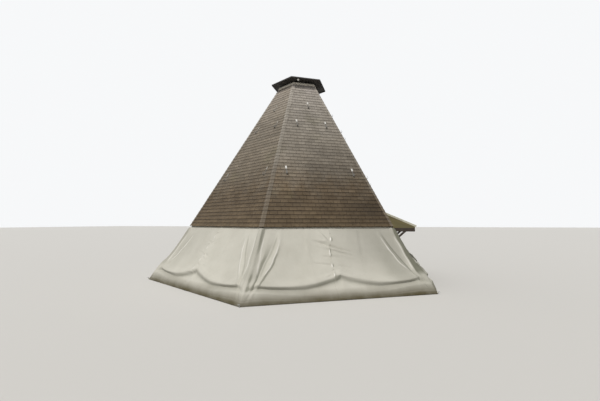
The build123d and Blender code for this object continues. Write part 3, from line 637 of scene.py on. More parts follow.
# The smoke throat: folded zinc over the top course, dressed down the slope and in over a galvanised ring,
# and above it the cap, a deck of dark boards with edge boards under a dark sheet with turned-down lips.
FOLD_CHAMFER = 0.0012
# Painted light: the throat zinc is brighter than plain zinc, against the shadow of the cap.
zinc_painted_lit = metal("throat_zinc_painted_light", (0.80, 0.75, 0.65, 1), (0.60, 0.55, 0.46, 1), 40.0, 0.5, 0.5, 0.1)
dark_sheet = metal("dark_sheet", (0.035, 0.031, 0.028, 1), (0.06, 0.055, 0.046, 1), 12.0, 0.6, 0.5, 0.1)
dark_wood = wood("dark_board", (0.026, 0.021, 0.018, 1), (0.012, 0.010, 0.008, 1),
                 (0.036, 0.032, 0.028, 1), 0.4)
dressed("throat_flashing", zinc_painted_lit, FOLD_CHAMFER)
dressed("smoke_cap_cover", dark_sheet, FOLD_CHAMFER)
dressed("smoke_cap_fascia", dark_wood, BOARD_CHAMFER, 5)
CAP_DECK, CAP_DECK_REACH, CAP_DECK_THICK, CAP_DECK_TOP = 0.7985, 1.2, 0.024, 6.286
CAP_BOARD_COURSE, CAP_BOARD_GAP = 0.118, 0.003
cap_edges = [(sin(i * pi / 3), cos(i * pi / 3), CAP_DECK) for i in range(6)]
cap_deck, draws, low = Courses(), random.Random(61), -CAP_DECK
while low < CAP_DECK:
    board = rectangle(-CAP_DECK_REACH, CAP_DECK_REACH, low, low + CAP_BOARD_COURSE - CAP_BOARD_GAP)
    cap_deck.board(clipped(board, *cap_edges), 0.0, CAP_DECK_THICK, draws)
    low += CAP_BOARD_COURSE


def on_cap(points):
    along, across, out = np.asarray(points, float).T
    return np.column_stack([across, -along, CAP_DECK_TOP + out])


new_piece("smoke_cap_deck", cap_deck.mesh("smoke_cap_deck", on_cap), dark_wood,
          "smoke_cap_boards")

# The lamp under the cap: a white moulded base and a small opal dome, screwed to the underside of the boards.
# It hangs a hand's breadth in from the edge, on the side to the left of the entrance.
LAMP_TURN = ((0.0, 0.0), (0.036, 0.0), (0.038, 0.003), (0.038, 0.013), (0.036, 0.015), (0.033, 0.015),
             (0.032, 0.017), (0.0315, 0.026), (0.029, 0.034), (0.0235, 0.041), (0.015, 0.0465),
             (0.007, 0.0485), (0.0, 0.049))
LAMP_SIDE, LAMP_ALONG, LAMP_OUT, LAMP_HEIGHT = 5, -0.223, 0.7150, 6.262


class Fittings:
    """Small like pieces gathered into one mesh."""

    def __init__(self):
        self.points, self.faces = [], []

    def put(self, points, faces):
        first = len(self.points)
        self.points += [tuple(point) for point in points]
        self.faces += [tuple(first + i for i in face) for face in faces]

    def turned(self, profile, centre, axis, steps):
        """A closed shape turned about an axis, from points (radius, height along the axis)."""
        axis = np.asarray(axis, float) / np.linalg.norm(axis)
        aside = np.cross(axis, [0, 0, 1.0] if abs(axis[2]) < 0.9 else [1.0, 0, 0])
        aside /= np.linalg.norm(aside)
        other = np.cross(axis, aside)
        points, rings, faces = [], [], []
        for radius, height in profile:
            count = 1 if radius == 0 else steps
            rings.append([len(points) + i for i in range(count)])
            for turn in (2 * pi * i / steps for i in range(count)):
                points.append(centre + axis * height + (aside * cos(turn) + other * sin(turn)) * radius)
        for lower, upper in zip(rings, rings[1:]):
            for i in range(steps):
                j = (i + 1) % steps
                face = [lower[i % len(lower)], lower[j % len(lower)],
                        upper[j % len(upper)], upper[i % len(upper)]]
                faces.append(tuple(dict.fromkeys(face)))
        self.put(points, faces)

    def piece(self, name, finish, slot, node=None):
        shape, mesh = bmesh.new(), bpy.data.meshes.new(name)
        mesh.from_pydata(self.points, [], self.faces)
        shape.from_mesh(mesh)
        bmesh.ops.recalc_face_normals(shape, faces=shape.faces)
        shape.to_mesh(mesh)
        shape.free()
        return new_piece(name, mesh, finish, node, smooth=True)


moulded = Finish("lamp_white")
dust = moulded.noise(moulded.place(), 30.0, 5, 0.6)
lamp_finish = moulded.done(
    moulded.mix(moulded.spread(dust, 0.45, 0.75, 0, 0.6), (0.76, 0.75, 0.71, 1), (0.52, 0.49, 0.42, 1)),
    moulded.spread(dust, 0.3, 0.7, 0.22, 0.45), dust, 0.0003, 0.3)
lamp = Fittings()
lamp.turned(LAMP_TURN, on_side(LAMP_OUT, LAMP_ALONG, LAMP_HEIGHT, LAMP_SIDE), (0, 0, -1), 40)
lamp.piece("soffit_lamp", lamp_finish, "lamp_white", "smoke_cap_lamp")

# The ladder hooks: galvanised flat steel, nailed to the boards between two courses. Each comes out from
# under a slate, runs down over the course below and turns out and up to carry a roof ladder. A plate covers
# its nails. On the side to the left of the entrance the plates are painted bright, a painted highlight;
# on the other sides they are dull.
SHOWN_SIDE = 5
HOOK_PLACES = ((0.0, 4.070), (-0.450, 3.290), (0.450, 3.290), (-0.950, 1.540), (0.950, 1.540))
PLATE_WIDE, PLATE_FOOT, PLATE_HEAD, PLATE_TOP = 0.046, 0.188, 0.276, 0.0088
PLATE_CORNER, PLATE_THICK, PLATE_CHAMFER = 0.004, 0.0022, 0.0007
hook_steel = metal("hook_steel", (0.17, 0.16, 0.145, 1), (0.07, 0.062, 0.052, 1), 60.0, 0.7, 0.5, 0.25)
# A bright copy of the plate metal for the one side, as a painted highlight, and a dull one for the rest.
plate_highlight_steel = metal("hook_plate_painted_highlight", (0.66, 0.65, 0.62, 1), (0.42, 0.40, 0.36, 1), 50.0, 0.4, 0.42, 0.2)
dull_steel = metal("dull_plate", (0.33, 0.31, 0.27, 1), (0.20, 0.18, 0.15, 1), 50.0, 0.5, 0.5, 0.2)
dressed("ladder_hooks", hook_steel, FOLD_CHAMFER)
for side, name in enumerate(SIDES):
    plates = Courses()
    for along, up in HOOK_PLACES:
        outline = rectangle(along - PLATE_WIDE / 2, along + PLATE_WIDE / 2, up + PLATE_FOOT, up + PLATE_HEAD)
        for x, y in tuple(outline):
            right, high = (1 if x > along else -1), (1 if y > up + PLATE_FOOT else -1)
            outline = clipped(outline, (right, high, right * x + high * y - PLATE_CORNER))
        plates.lay(outline, lambda x, y: PLATE_TOP, PLATE_THICK, PLATE_CHAMFER, 0.5)
    new_piece("hook_plates_" + name, plates.mesh("hook_plates_" + name, slope_points, side),
              plate_highlight_steel if side == SHOWN_SIDE else dull_steel)

# The canvas skirt: one sheet of proofed cotton duck to each corner, grey with age, with welted joins between
# its breadths. It is screwed to the eaves board by a band along its top and pegged down at the corner. Each
# seam has a flap, and the two sheets beside the entrance are gathered there instead.
THREADS, STITCHES = 2 * pi / 0.0016, 1 / 0.006
canvas = Finish("canvas")
cloth, place = canvas.kept("cloth")["Vector"], canvas.place()
side_way, down_way, join_way = canvas.parts(cloth)
height = canvas.parts(place)[2]
warp, weft = (canvas.math("SINE", canvas.times(way, THREADS)) for way in (side_way, down_way))
slubs = canvas.noise(cloth, 1.0, 3, 0.5, (5, 260, 0))
creasing = canvas.noise(cloth, 9.0, 5, 0.55, (1, 1, 0))
stains = canvas.noise(place, 1.6, 6, 0.62)
water_marks = canvas.noise(place, 1.3, 5, 0.6, (5, 5, 0.55))
specks = canvas.noise(place, 28.0, 3, 0.6)
join_way = canvas.math("ABSOLUTE", join_way)
join_edge = canvas.times(canvas.spread(join_way, 0.0175, 0.0145), canvas.spread(join_way, 0.0110, 0.0135))
stitch_gap = canvas.math("GREATER_THAN", canvas.math("FRACT", canvas.times(down_way, STITCHES)), 0.35)
stitching = canvas.times(canvas.math("COMPARE", join_way, 0.0095, 0.0011), stitch_gap)
shaded_way = canvas.parts(canvas.add("NewGeometry")["Normal"])[0]
canvas_colour = canvas.layers(
    (0.560, 0.545, 0.485, 1),
    (canvas.spread(stains, 0.3, 0.72), (0.505, 0.490, 0.430, 1)),
    (canvas.spread(water_marks, 0.5, 0.78, 0, 0.15), (0.38, 0.37, 0.31, 1)),
    (canvas.times(canvas.spread(height, 0.34, 0.0), canvas.spread(stains, 0.25, 0.7, 0.1, 0.5)),
     (0.33, 0.30, 0.25, 1)),
    (canvas.spread(specks, 0.70, 0.78, 0, 0.3), (0.30, 0.29, 0.24, 1)),
    (canvas.times(join_edge, 0.25), (0.22, 0.21, 0.18, 1)),
    (canvas.times(stitching, 0.6), (0.62, 0.60, 0.53, 1)),
    # Cloth facing the entrance side is greener and darker: algae, and painted shade.
    (canvas.times(canvas.spread(shaded_way, 0.56, 0.70), canvas.spread(stains, 0.2, 0.7, 0.35, 0.6)),
     (0.20, 0.205, 0.150, 1)),
    # Painted shade: darker towards each sheet's corners and in its upper part.
    (canvas.times(canvas.spread(height, 0.34, 1.0), canvas.kept("sheet_shade")["Fac"]), (0.10, 0.095, 0.075, 1)),
    (canvas.times(canvas.spread(height, 0.24, 0.05), canvas.spread(stains, 0.25, 0.7, 0.75, 1.0)),
     (0.058, 0.046, 0.012, 1)),
    # Painted shade, then painted highlight, where each sheet is marked for them.
    (canvas.kept("painted_shade")["Fac"], (0.125, 0.125, 0.090, 1)),
    (canvas.spread(canvas.kept("painted_highlight")["Fac"], 0.25, 0.8), (0.82, 0.80, 0.76, 1)))
relief = canvas.times(slubs, 0.25)
for source, share in ((canvas.times(warp, weft), 0.10), (creasing, 2.2),
                      (canvas.spread(join_way, 0.0145, 0.0125), 0.8), (stitching, 0.3)):
    relief = canvas.times(source, share, relief)
canvas_finish = canvas.done(canvas_colour, canvas.spread(stains, 0.3, 0.7, 0.62, 0.78), relief, 0.0022, 0.55)

SKIRT_THICK, SKIRT_LOWEST = 0.0024, 0.0015
BAND_TOP, BAND_FOOT, FLAT_HEIGHT, KNEE_HEIGHT = 1.560, 1.515, 1.117, 0.720
# Out and up for cloth that stands off the skirt's slope
OUTWARD, UPWARD = 0.846, 0.533
# How far out the flat cloth lies, by height: each such table has its heights first
SKIRT_LINE = ((0.015, 0.340, 0.720, 1.546, 1.560), (3.968, 3.760, 3.450, 2.953, 2.949))
# Rows of the sheet at the ends of its parts, from the band down to the hem
ROW_MARKS = (0, 3, 23, 43, 57, 65, 72, 80, 86, 91)
# Heights of the two folds that run along the foot of each side, by the share of the way from seam to corner
FOLD_SHARES = (0.0, 0.06, 0.15, 0.27, 0.41, 0.53, 0.65, 0.77, 0.89, 1.0)
UPPER_FOLD = (0.52, 0.47, 0.43, 0.375, 0.332, 0.322, 0.326, 0.343, 0.385, 0.36)
LOWER_FOLD = (0.17, 0.155, 0.145, 0.141, 0.152, 0.170, 0.199, 0.226, 0.24, 0.20)
# The folds that fan out from each corner peg: how far each lies from the corner, by height
FAN_HEIGHTS = (0.02, 0.15, 0.30, 0.45, 0.53, 0.59, 0.67, 0.77, 0.86, 0.97, 1.12, 1.23, 1.43, 1.515)
CORNER_FOLD = (0.04, 0.08, 0.13, 0.165, 0.150, 0.138, 0.120, 0.106, 0.108, 0.092, 0.075, 0.078, 0.054, 0.028)
VALLEY_FOLD = (0.08, 0.13, 0.18, 0.215, 0.220, 0.225, 0.240, 0.255, 0.290, 0.325, 0.355, 0.370, 0.385, 0.385)
RIDGE_FOLD = (0.12, 0.18, 0.24, 0.300, 0.330, 0.360, 0.405, 0.435, 0.445, 0.475, 0.490, 0.490, 0.480, 0.470)
# How deep the fan is, by height, and how far its edge, folds and foot stand out where it is deepest
FAN_DEPTH = (0.0, 0.25, 0.60, 0.95, 1.0, 1.0, 1.0, 0.95, 0.90, 0.82, 0.70, 0.55, 0.30, 0.0)
FAN_SHAPE = (-0.002, 0.014, 0.003, -0.030, 0.026, -0.006, 0.0)
# How far the very corner stands out, how much painted shade lies on the cloth near it, by height, and how
# wide the strip of painted shade beside it is
CORNER_OUT = ((0.02, 0.20, 0.48, 0.60, 0.93, 1.03, 1.22, 1.42, 1.50, 1.545),
              (0.0, 0.02, 0.045, 0.026, 0.024, 0.032, 0.045, 0.058, 0.050, 0.0))
CORNER_SHADE_BY_HEIGHT = (0.0, 0.3, 0.5, 0.9, 1.3, 1.5), (0.10, 0.32, 0.40, 0.24, 0.14, 0.06)
CORNER_STRIP = ((0.48, 0.56, 0.65, 0.74, 0.84, 0.93, 1.03, 1.12, 1.22, 1.32, 1.42, 1.53),
                (0.166, 0.143, 0.123, 0.104, 0.110, 0.100, 0.082, 0.076, 0.080, 0.069, 0.054, 0.026))
# Painted shade along the valley of the corner folds
VALLEY_SHADE = 0.38
HALF_COLUMNS = np.concatenate([np.linspace(0, 0.74, 44, endpoint=False), np.linspace(0.74, 1.0, 44)])
# The seam: how far its flap reaches over the next sheet, and the heights of its fastenings
SEAM_FLAP = (0.015, 0.50, 1.0, 1.28, 1.56), (0.190, 0.190, 0.165, 0.075, 0.045)
FLAP_COLUMNS, FLAP_PROUD = 16, 0.0055
CLOSURES = (1.40, 1.12, 0.84, 0.60, 0.38, 0.18)
# The gathered edge beside the doorway: how far it lies from the middle, and how deep its pleats swing
DOOR_EDGE = ((0.015, 0.089, 0.178, 0.34, 0.55, 0.80, 0.972, 1.10, 1.226, 1.35, 1.476, 1.56),
             (1.308, 1.360, 1.401, 1.439, 1.452, 1.450, 1.438, 1.413, 1.374, 1.319, 1.245, 1.185))
DOOR_SWING = ((0.0, 0.2, 0.45, 0.70, 0.80, 0.90, 1.05, 1.30, 1.50),
              (0.040, 0.042, 0.042, 0.032, 0.024, 0.030, 0.030, 0.016, 0.0))
PLEATS, PLEAT_START = 3.5, 0.16
# The creases and puffs that show on the seam to the left of the entrance
CREASE_DEPTH = 1.5
SEAM_CREASES = (
    (-0.34, 1.18, 0.46, 0.930, -0.024, 0.028), (-0.06, 1.01, 0.46, 0.860, -0.014, 0.024),
    (-0.02, 1.04, 0.44, 0.915, 0.010, 0.020), (-0.14, 1.23, -0.36, 1.48, 0.020, 0.024),
    (-0.12, 1.18, -0.27, 1.41, 0.012, 0.018), (-0.16, 1.17, -0.56, 1.235, -0.012, 0.022),
    (-0.10, 0.85, -0.36, 0.89, -0.009, 0.020), (-0.20, 0.69, -0.62, 0.75, -0.008, 0.020),
    (0.02, 0.68, 0.36, 0.585, -0.008, 0.020), (-0.14, 0.93, 0.12, 0.85, 0.007, 0.016),
    (-0.12, 0.62, 0.34, 0.50, 0.008, 0.022), (-0.16, 0.50, 0.25, 0.430, 0.007, 0.018),
    (-0.18, 0.50, -0.40, 0.44, -0.008, 0.018), (0.74, 1.46, 0.66, 0.80, -0.009, 0.035),
    (0.42, 1.50, 0.30, 1.12, 0.006, 0.030), (-0.62, 1.48, -0.70, 0.80, 0.007, 0.035),
    (1.20, 1.47, 1.26, 1.10, -0.008, 0.022),
)
SEAM_PUFFS = ((-0.048, 1.270, 0.026), (-0.150, 1.010, 0.024), (-0.152, 0.925, 0.020), (-0.160, 0.685, 0.022),
              (-0.172, 0.505, 0.028))
PUFF_WIDE, PUFF_HIGH = 0.026, 0.042


def soften(values, rounds):
    """Evens out, in place, the values between the first and the last."""
    for _ in range(rounds):
        values[1:-1] = (values[:-2] + 2 * values[1:-1] + values[2:]) / 4


def section_of(share):
    """One line of the sheet from band to hem, with its foot folds: how far out, how high, and how much
    painted shade lies in the crease under the upper fold.
    """
    upper, lower = (np.interp(share, FOLD_SHARES, fold) for fold in (UPPER_FOLD, LOWER_FOLD))
    fade = 1 - np.interp(share, (0.86, 1.0), (0, 1))
    step_up, step_low = min(0.12, 0.64 * (upper - lower)), min(0.05, 0.5 * lower)
    heights = (BAND_TOP, BAND_FOOT, FLAT_HEIGHT, KNEE_HEIGHT, upper + 0.11, upper, upper - step_up, lower,
               lower - step_low, SKIRT_LOWEST)
    proud = (0, 0, 0, 0.006, -0.004 * fade, 0.040 * fade, -0.064 * fade, 0.038 * fade, 0.026 * fade, 0)
    rows, stands = (np.interp(range(ROW_MARKS[-1] + 1), ROW_MARKS, values) for values in (heights, proud))
    out = np.interp(rows, *SKIRT_LINE) + stands
    for values in (rows, out):
        soften(values[2:], 3)
    # The third value is painted shade in the crease under the upper fold.
    return out, rows, 0.44 * fade * bump(rows, upper - 0.75 * step_up, 0.056)


def sections_at(shares):
    return (np.array(values) for values in zip(*(section_of(share) for share in shares)))


def fan_folds(away, height, strength):
    """How far the folds round a corner stand out, by distance from the corner and height."""
    corner, valley, ridge = (np.interp(height, FAN_HEIGHTS, fold)
                             for fold in (CORNER_FOLD, VALLEY_FOLD, RIDGE_FOLD))
    valley, ridge = np.maximum(valley, corner + 0.035), np.maximum(ridge, valley + 0.05)
    marks = [0 * corner, corner, (corner + valley) / 2, valley, ridge, ridge + 0.06, ridge + 0.26]
    shape = np.array(FAN_SHAPE) * (1, 1, 1, strength, strength, strength, 1)
    stands = np.full_like(away, shape[0])
    for start, end, step in zip(marks, marks[1:], np.diff(shape)):
        stands += step * np.clip((away - start) / (end - start), 0, 1)
    return np.interp(height, FAN_HEIGHTS, FAN_DEPTH) * stands


def creases(along, height, lines):
    """Straight tension creases, each (along, height) to (along, height), with its rise and its width."""
    total = np.zeros_like(along)
    for a0, h0, a1, h1, rise, width in lines:
        length = hypot(a1 - a0, h1 - h0)
        t = ((along - a0) * (a1 - a0) + (height - h0) * (h1 - h0)) / length**2
        off = ((along - a0) * (h1 - h0) - (height - h0) * (a1 - a0)) / length
        crease = bump(off, 0, width) - 0.55 * bump(off, 1.9 * width, width)
        total += CREASE_DEPTH * rise * plateau(t, -0.1, 0.12, 0.55, 1.1) * crease
    return total


def puffs(along, height, spots):
    """Small rounded bulges of slack cloth, each (along, height, rise)."""
    return sum(rise * bump(along, middle, PUFF_WIDE) * bump(height, level, PUFF_HIGH)
               for middle, level, rise in spots)


def drawn_puffs(draws):
    spots = []
    for upper, lower in zip(CLOSURES, CLOSURES[1:-1]):
        level = (upper + lower) / 2 + draws.uniform(-0.04, 0.04)
        spots.append((0.022 - np.interp(level, *SEAM_FLAP), level, draws.uniform(0.012, 0.026)))
    return spots


def drawn_creases(draws):
    lines = []
    for height in CLOSURES[:-1]:
        for hand in (-1, -1, 1, 1):
            reach, fall = draws.uniform(0.18, 0.45), draws.uniform(-0.16, 0.22)
            lines.append((-0.12, height + draws.uniform(-0.03, 0.03), -0.12 + hand * reach, height - fall,
                          draws.choice((-1, 1)) * draws.uniform(0.004, 0.010), draws.uniform(0.014, 0.022)))
    for hand in (-1, 1):
        start = hand * draws.uniform(0.4, 0.9)
        end = start + hand * draws.uniform(-0.1, 0.2)
        lines.append((start, 1.48, end, 0.75, draws.choice((-1, 1)) * 0.006, 0.035))
    return lines


def ripple(along, height, seed):
    """A slow unevenness, so that no side hangs quite flat."""
    draws, total = random.Random(seed), np.zeros_like(along)
    for _ in range(6):
        a, b = draws.uniform(1.2, 5.5), draws.uniform(0.8, 4.0)
        total += np.sin(a * along + draws.uniform(0, 6.3)) * np.sin(b * height * 2 + draws.uniform(0, 6.3))
    return 0.006 * total / 3 * plateau(height, 0.02, 0.14, BAND_FOOT - 0.25, BAND_FOOT)


def between_closures(height):
    return np.abs(np.sin(pi * (height - CLOSURES[0]) / (CLOSURES[0] - CLOSURES[1])))


def slack(side, along, height, half):
    """How far a side's cloth stands off its section: creases, a slow unevenness, swags between closures."""
    swag = 0.006 * between_closures(height) * bump(along, 0, 0.16) * eased(BAND_FOOT - height, 0.02, 0.2)
    lines = creases(along, height, side_lines[side]) * eased(half - np.abs(along), 0.05, 0.4)
    return lines + swag + ripple(along, height, 500 + side)


def gathered(gone, height):
    """How far the pleats of a gathered sheet stand out, by the share of the way back to the doorway."""
    phase = 2 * pi * PLEATS * (gone - PLEAT_START) / (1 - PLEAT_START)
    pleats = eased(gone, PLEAT_START, 0.34) * np.interp(height, *DOOR_SWING) * np.sin(phase - 0.5)
    belly = 0.020 * bump(height, 0.46, 0.20) * eased(gone, 0.22, 0.5)
    notch = 0.030 * bump(gone, 0.17, 0.06) * plateau(height, 0.1, 0.3, 0.9, 1.2)
    return pleats * (0.75 + 0.25 * np.sin(2.3 * phase + 1.0)) + belly - notch


def seam_flap(side, hand):
    """The flap over the next sheet, columns running from its free edge to the seam."""
    shares = np.linspace(-1, 0, FLAP_COLUMNS, endpoint=False)
    out, height, painted_shade = sections_at(-0.09 * shares)
    along, spots = shares[:, None] * np.interp(height, *SEAM_FLAP), side_spots[side]
    slap = 0.006 * between_closures(height) * shares[:, None] ** 2 * eased(BAND_FOOT - height, 0.0, 0.1)
    proud = (FLAP_PROUD + slap + slack(side, hand * along, height, tan(HALF_TURN) * out)
             + puffs(hand * along, height, spots))
    out, height = out + OUTWARD * proud, np.maximum(height + UPWARD * proud, SKIRT_LOWEST)
    # Painted highlight at the lifted edge beside each puff.
    painted_highlight = puffs(hand * along, height, [(middle - 0.018, level, 1.0) for middle, level, _ in spots])
    return np.array([out, along, height, painted_highlight, painted_shade, np.full_like(out, 0.35)])


def skirt_half(side, hand, fan, shading, door, flap=False):
    """Half a side of the skirt, from its seam or door edge to the corner, and its finish's values."""
    shares = HALF_COLUMNS[:, None]
    out, height, painted_shade = sections_at(1.0 - 0.35 * (1 - HALF_COLUMNS) if door else HALF_COLUMNS)
    half, edge = tan(HALF_TURN) * out, np.interp(height, *DOOR_EDGE) if door else 0.0
    along = edge + (half - edge) * shares
    away, strip = half - along, np.interp(height, *CORNER_STRIP)
    valley, ridge = (away - np.interp(height, FAN_HEIGHTS, fold) for fold in (VALLEY_FOLD, RIDGE_FOLD))
    folded = plateau(height, 0.42, 0.62, 1.21, 1.46)
    # Painted shade on the cloth near the corner, and on the strip between the corner and its first fold.
    corner_shade = np.interp(height, *CORNER_SHADE_BY_HEIGHT) * (1 - eased(away, 0.60, 1.15)) * shading
    corner_shade *= 1 - 0.8 * eased(0.10 - np.abs(away - strip - 0.055), 0.02, 0.07) * folded
    shaded_zone = shading * eased(strip - away, -0.45 if door else -0.010, 0.010) * eased(height, 0.34, 0.52)
    # Painted shade in the valley of the corner fold, added to the rest.
    painted_shade = np.maximum.reduce([painted_shade, corner_shade, shaded_zone]) + VALLEY_SHADE * bump(valley, 0.034, 0.022) * folded
    # Painted highlight on the corner fold's ridges.
    painted_highlight = (0.46 * bump(away - strip, 0.035, 0.030) + 0.56 * bump(ridge, 0, 0.026)) * folded
    # Painted shade, stronger towards the corner.
    sheet_shade = 0.35 + 0.65 * eased(along, -0.1, 0.8)

    rise = fan_folds(away, height, fan) * (1 - 0.75 * eased(height, 0.80, 1.0) if door else 1)
    rise += np.interp(height, *CORNER_OUT) * eased(0.11 - away, 0.0, 0.11)
    if door:
        rise += ripple(hand * along, height, 510 + hand) + gathered(1 - shares, height)
    else:
        spots = [(middle - 0.055, level, high) for middle, level, high in side_spots[side]]
        rise += slack(side, hand * along, height, half) - 0.35 * puffs(hand * along, height, spots)
    out, height = out + OUTWARD * rise, np.maximum(height + UPWARD * rise, SKIRT_LOWEST)
    along = np.where(shares == 1, tan(HALF_TURN) * out, along)
    if flap:
        settle = eased(0.12 - along, 0, 0.12) * FLAP_PROUD * (shares < 0.2)
        out, height = out + OUTWARD * settle, height + UPWARD * settle
    values = np.array([out, along, height, painted_highlight, painted_shade, sheet_shade])
    if flap:
        values = np.concatenate([seam_flap(side, hand), values], axis=1)
    out, along, height, *marks = values
    join = along - (1.9 if door else 0.70 - 0.11 * (1.45 - height))
    return on_side(out, hand * along, height, side), np.stack([join, *marks], axis=2)


def grid_faces(columns, rows, first=0, flip=False):
    corners = [first + i * rows + j for i in range(columns - 1) for j in range(rows - 1)]
    return [(a, a + 1, a + rows + 1, a + rows)[::-1 if flip else 1] for a in corners]


def grid_normals(grid):
    normal = np.cross(np.gradient(grid, axis=1), np.gradient(grid, axis=0))
    return normal / np.maximum(np.linalg.norm(normal, axis=2, keepdims=True), 1e-9)


def run_of(points, axis=0):
    """How far along a line, or along the lines of a grid, each point lies."""
    steps = np.diff(points, axis=axis, prepend=np.take(points, [0], axis))
    return np.cumsum(np.linalg.norm(steps, axis=-1), axis=axis)


def sheet_mesh(name, grid, join, thick):
    """A thin closed sheet. The grid is its outer face, and it keeps its own lengths in metres as cloth."""
    columns, rows = grid.shape[:2]
    count, last = columns * rows, (columns - 1) * rows
    points = np.concatenate([grid.reshape(-1, 3), (grid - grid_normals(grid) * thick).reshape(-1, 3)])
    faces = grid_faces(columns, rows) + grid_faces(columns, rows, count, True)
    edges = [(i * rows, (i + 1) * rows) for i in range(columns - 1)]
    edges += [((i + 1) * rows + rows - 1, i * rows + rows - 1) for i in range(columns - 1)]
    edges += [(j + 1, j) for j in range(rows - 1)] + [(last + j, last + j + 1) for j in range(rows - 1)]
    faces += [(a, b, b + count, a + count) for a, b in edges]
    made = bpy.data.meshes.new(name)
    made.from_pydata(points.tolist(), [], faces)
    cloth_points = np.stack([run_of(grid, 0), run_of(grid, 1), join], axis=2).reshape(-1, 3)
    keep(made, "cloth", np.concatenate([cloth_points, cloth_points]))
    return made


# The sheets, by corner, with how strong the painted shade near each corner is and how much painted shade
# darkens each sheet towards its corners and top
CORNERS = ("entrance_right", "right", "rear_right", "rear_left", "left", "entrance_left")
CORNER_SHADING, SHEET_SHADING = (0.85, 0.40, 0.30, 0.35, 0.25, 0.95), (0.22, 0.16, 0.20, 0.14, 0.03, 0.32)
side_lines = [drawn_creases(random.Random(300 + side)) for side in range(6)]
side_spots = [drawn_puffs(random.Random(330 + side)) for side in range(6)]
side_lines[SHOWN_SIDE], side_spots[SHOWN_SIDE] = SEAM_CREASES, SEAM_PUFFS
skirt_grids, skirt_sheets, draws = [], [], random.Random(23)
for corner, name in enumerate(CORNERS):
    following, shading = (corner + 1) % 6, CORNER_SHADING[corner]
    fans = (1.0, 1.0) if corner in (4, 5) else [draws.uniform(0.7, 1.1) for _ in range(2)]
    first, first_marks = skirt_half(corner, 1, fans[0], shading, corner == 0, corner != 0)
    second, second_marks = skirt_half(following, -1, fans[1], shading, following == 0)
    grid = np.concatenate([first[:-1], (first[-1:] + second[-1:]) / 2, second[-2::-1]])
    soften(grid[:, 2:], 2)
    join, painted_highlight, painted_shade, sheet_shade = np.moveaxis(np.concatenate([first_marks[:-1], second_marks[::-1]]), 2, 0)
    mesh = sheet_mesh("skirt_" + name, grid, join, SKIRT_THICK)
    for mark, values in (("painted_highlight", painted_highlight), ("painted_shade", painted_shade), ("sheet_shade", SHEET_SHADING[corner] * sheet_shade)):
        keep(mesh, mark, np.tile(values.ravel(), 2))
    skirt_sheets.append(new_piece("skirt_" + name, mesh, canvas_finish, "canvas_" + name,
                                  smooth=True))
    skirt_grids.append(grid)

# The skirt's trim: cotton webbing along the top edges, screwed through to the eaves board, a doubled hem at
# the foot, studs down each flap, and a loop over each corner peg.
TWILL = 2 * pi / 0.0034
tape = Finish("webbing")
side_way, down_way, _ = tape.parts(tape.kept("cloth")["Vector"])
twill = tape.math("SINE", tape.times(tape.math("ADD", side_way, down_way), TWILL))
wear = tape.noise(tape.place(), 11.0, 5, 0.6)
tape_colour = tape.layers((0.500, 0.480, 0.410, 1), (tape.spread(wear, 0.35, 0.72), (0.300, 0.280, 0.215, 1)),
                          (tape.spread(twill, -0.6, 1, 0.0, 0.30), (0.20, 0.185, 0.14, 1)))
webbing_finish = tape.done(tape_colour, tape.spread(wear, 0.3, 0.7, 0.65, 0.8), twill, 0.0006, 0.6)
BAND_ROWS, HEM_ROWS, TRIM_THICK, TRIM_LIFT, TAPE_HALF = slice(0, 3), slice(-4, None), 0.0015, 0.0018, 0.0125
SCREW_START, SCREW_GAP, SCREW_END, STUD_IN = 0.10, 0.290, 0.05, 0.030
SCREW_TURN = ((0.0, -0.001), (0.010, -0.001), (0.010, 0.0012), (0.0058, 0.0014), (0.0052, 0.0030),
              (0.003, 0.0042), (0.0, 0.0046))
STUD_TURN = ((0.0, -0.001), (0.012, -0.001), (0.012, 0.0010), (0.0105, 0.0020), (0.0080, 0.0024),
             (0.0075, 0.0050), (0.005, 0.0064), (0.0, 0.0068))
PEG_OUT, LOOP_WIDE, LOOP_HEIGHT, LOOP_THICK = 4.5917, 0.022, 0.034, 0.0018


def tape_piece(name, grid, thick, finish):
    """A strip of cloth over a grid, with its stitching near both edges."""
    lines = np.tile(np.linspace(-TAPE_HALF, TAPE_HALF, grid.shape[1]), (len(grid), 1))
    return new_piece(name, sheet_mesh(name, grid, lines, thick), finish, smooth=True)


def ribbon(name, path, across, width, thick, columns=5):
    """A strap laid along a path, its width along one direction."""
    offsets = np.linspace(-width / 2, width / 2, columns)
    grid = np.asarray(path, float)[:, None, :] + offsets[None, :, None] * np.asarray(across, float)
    return tape_piece(name, grid, thick, webbing_finish)


def at_height(column, height):
    """Where a column of a sheet passes a height."""
    return np.array([np.interp(-height, -column[:, 2], column[:, i]) for i in range(3)])


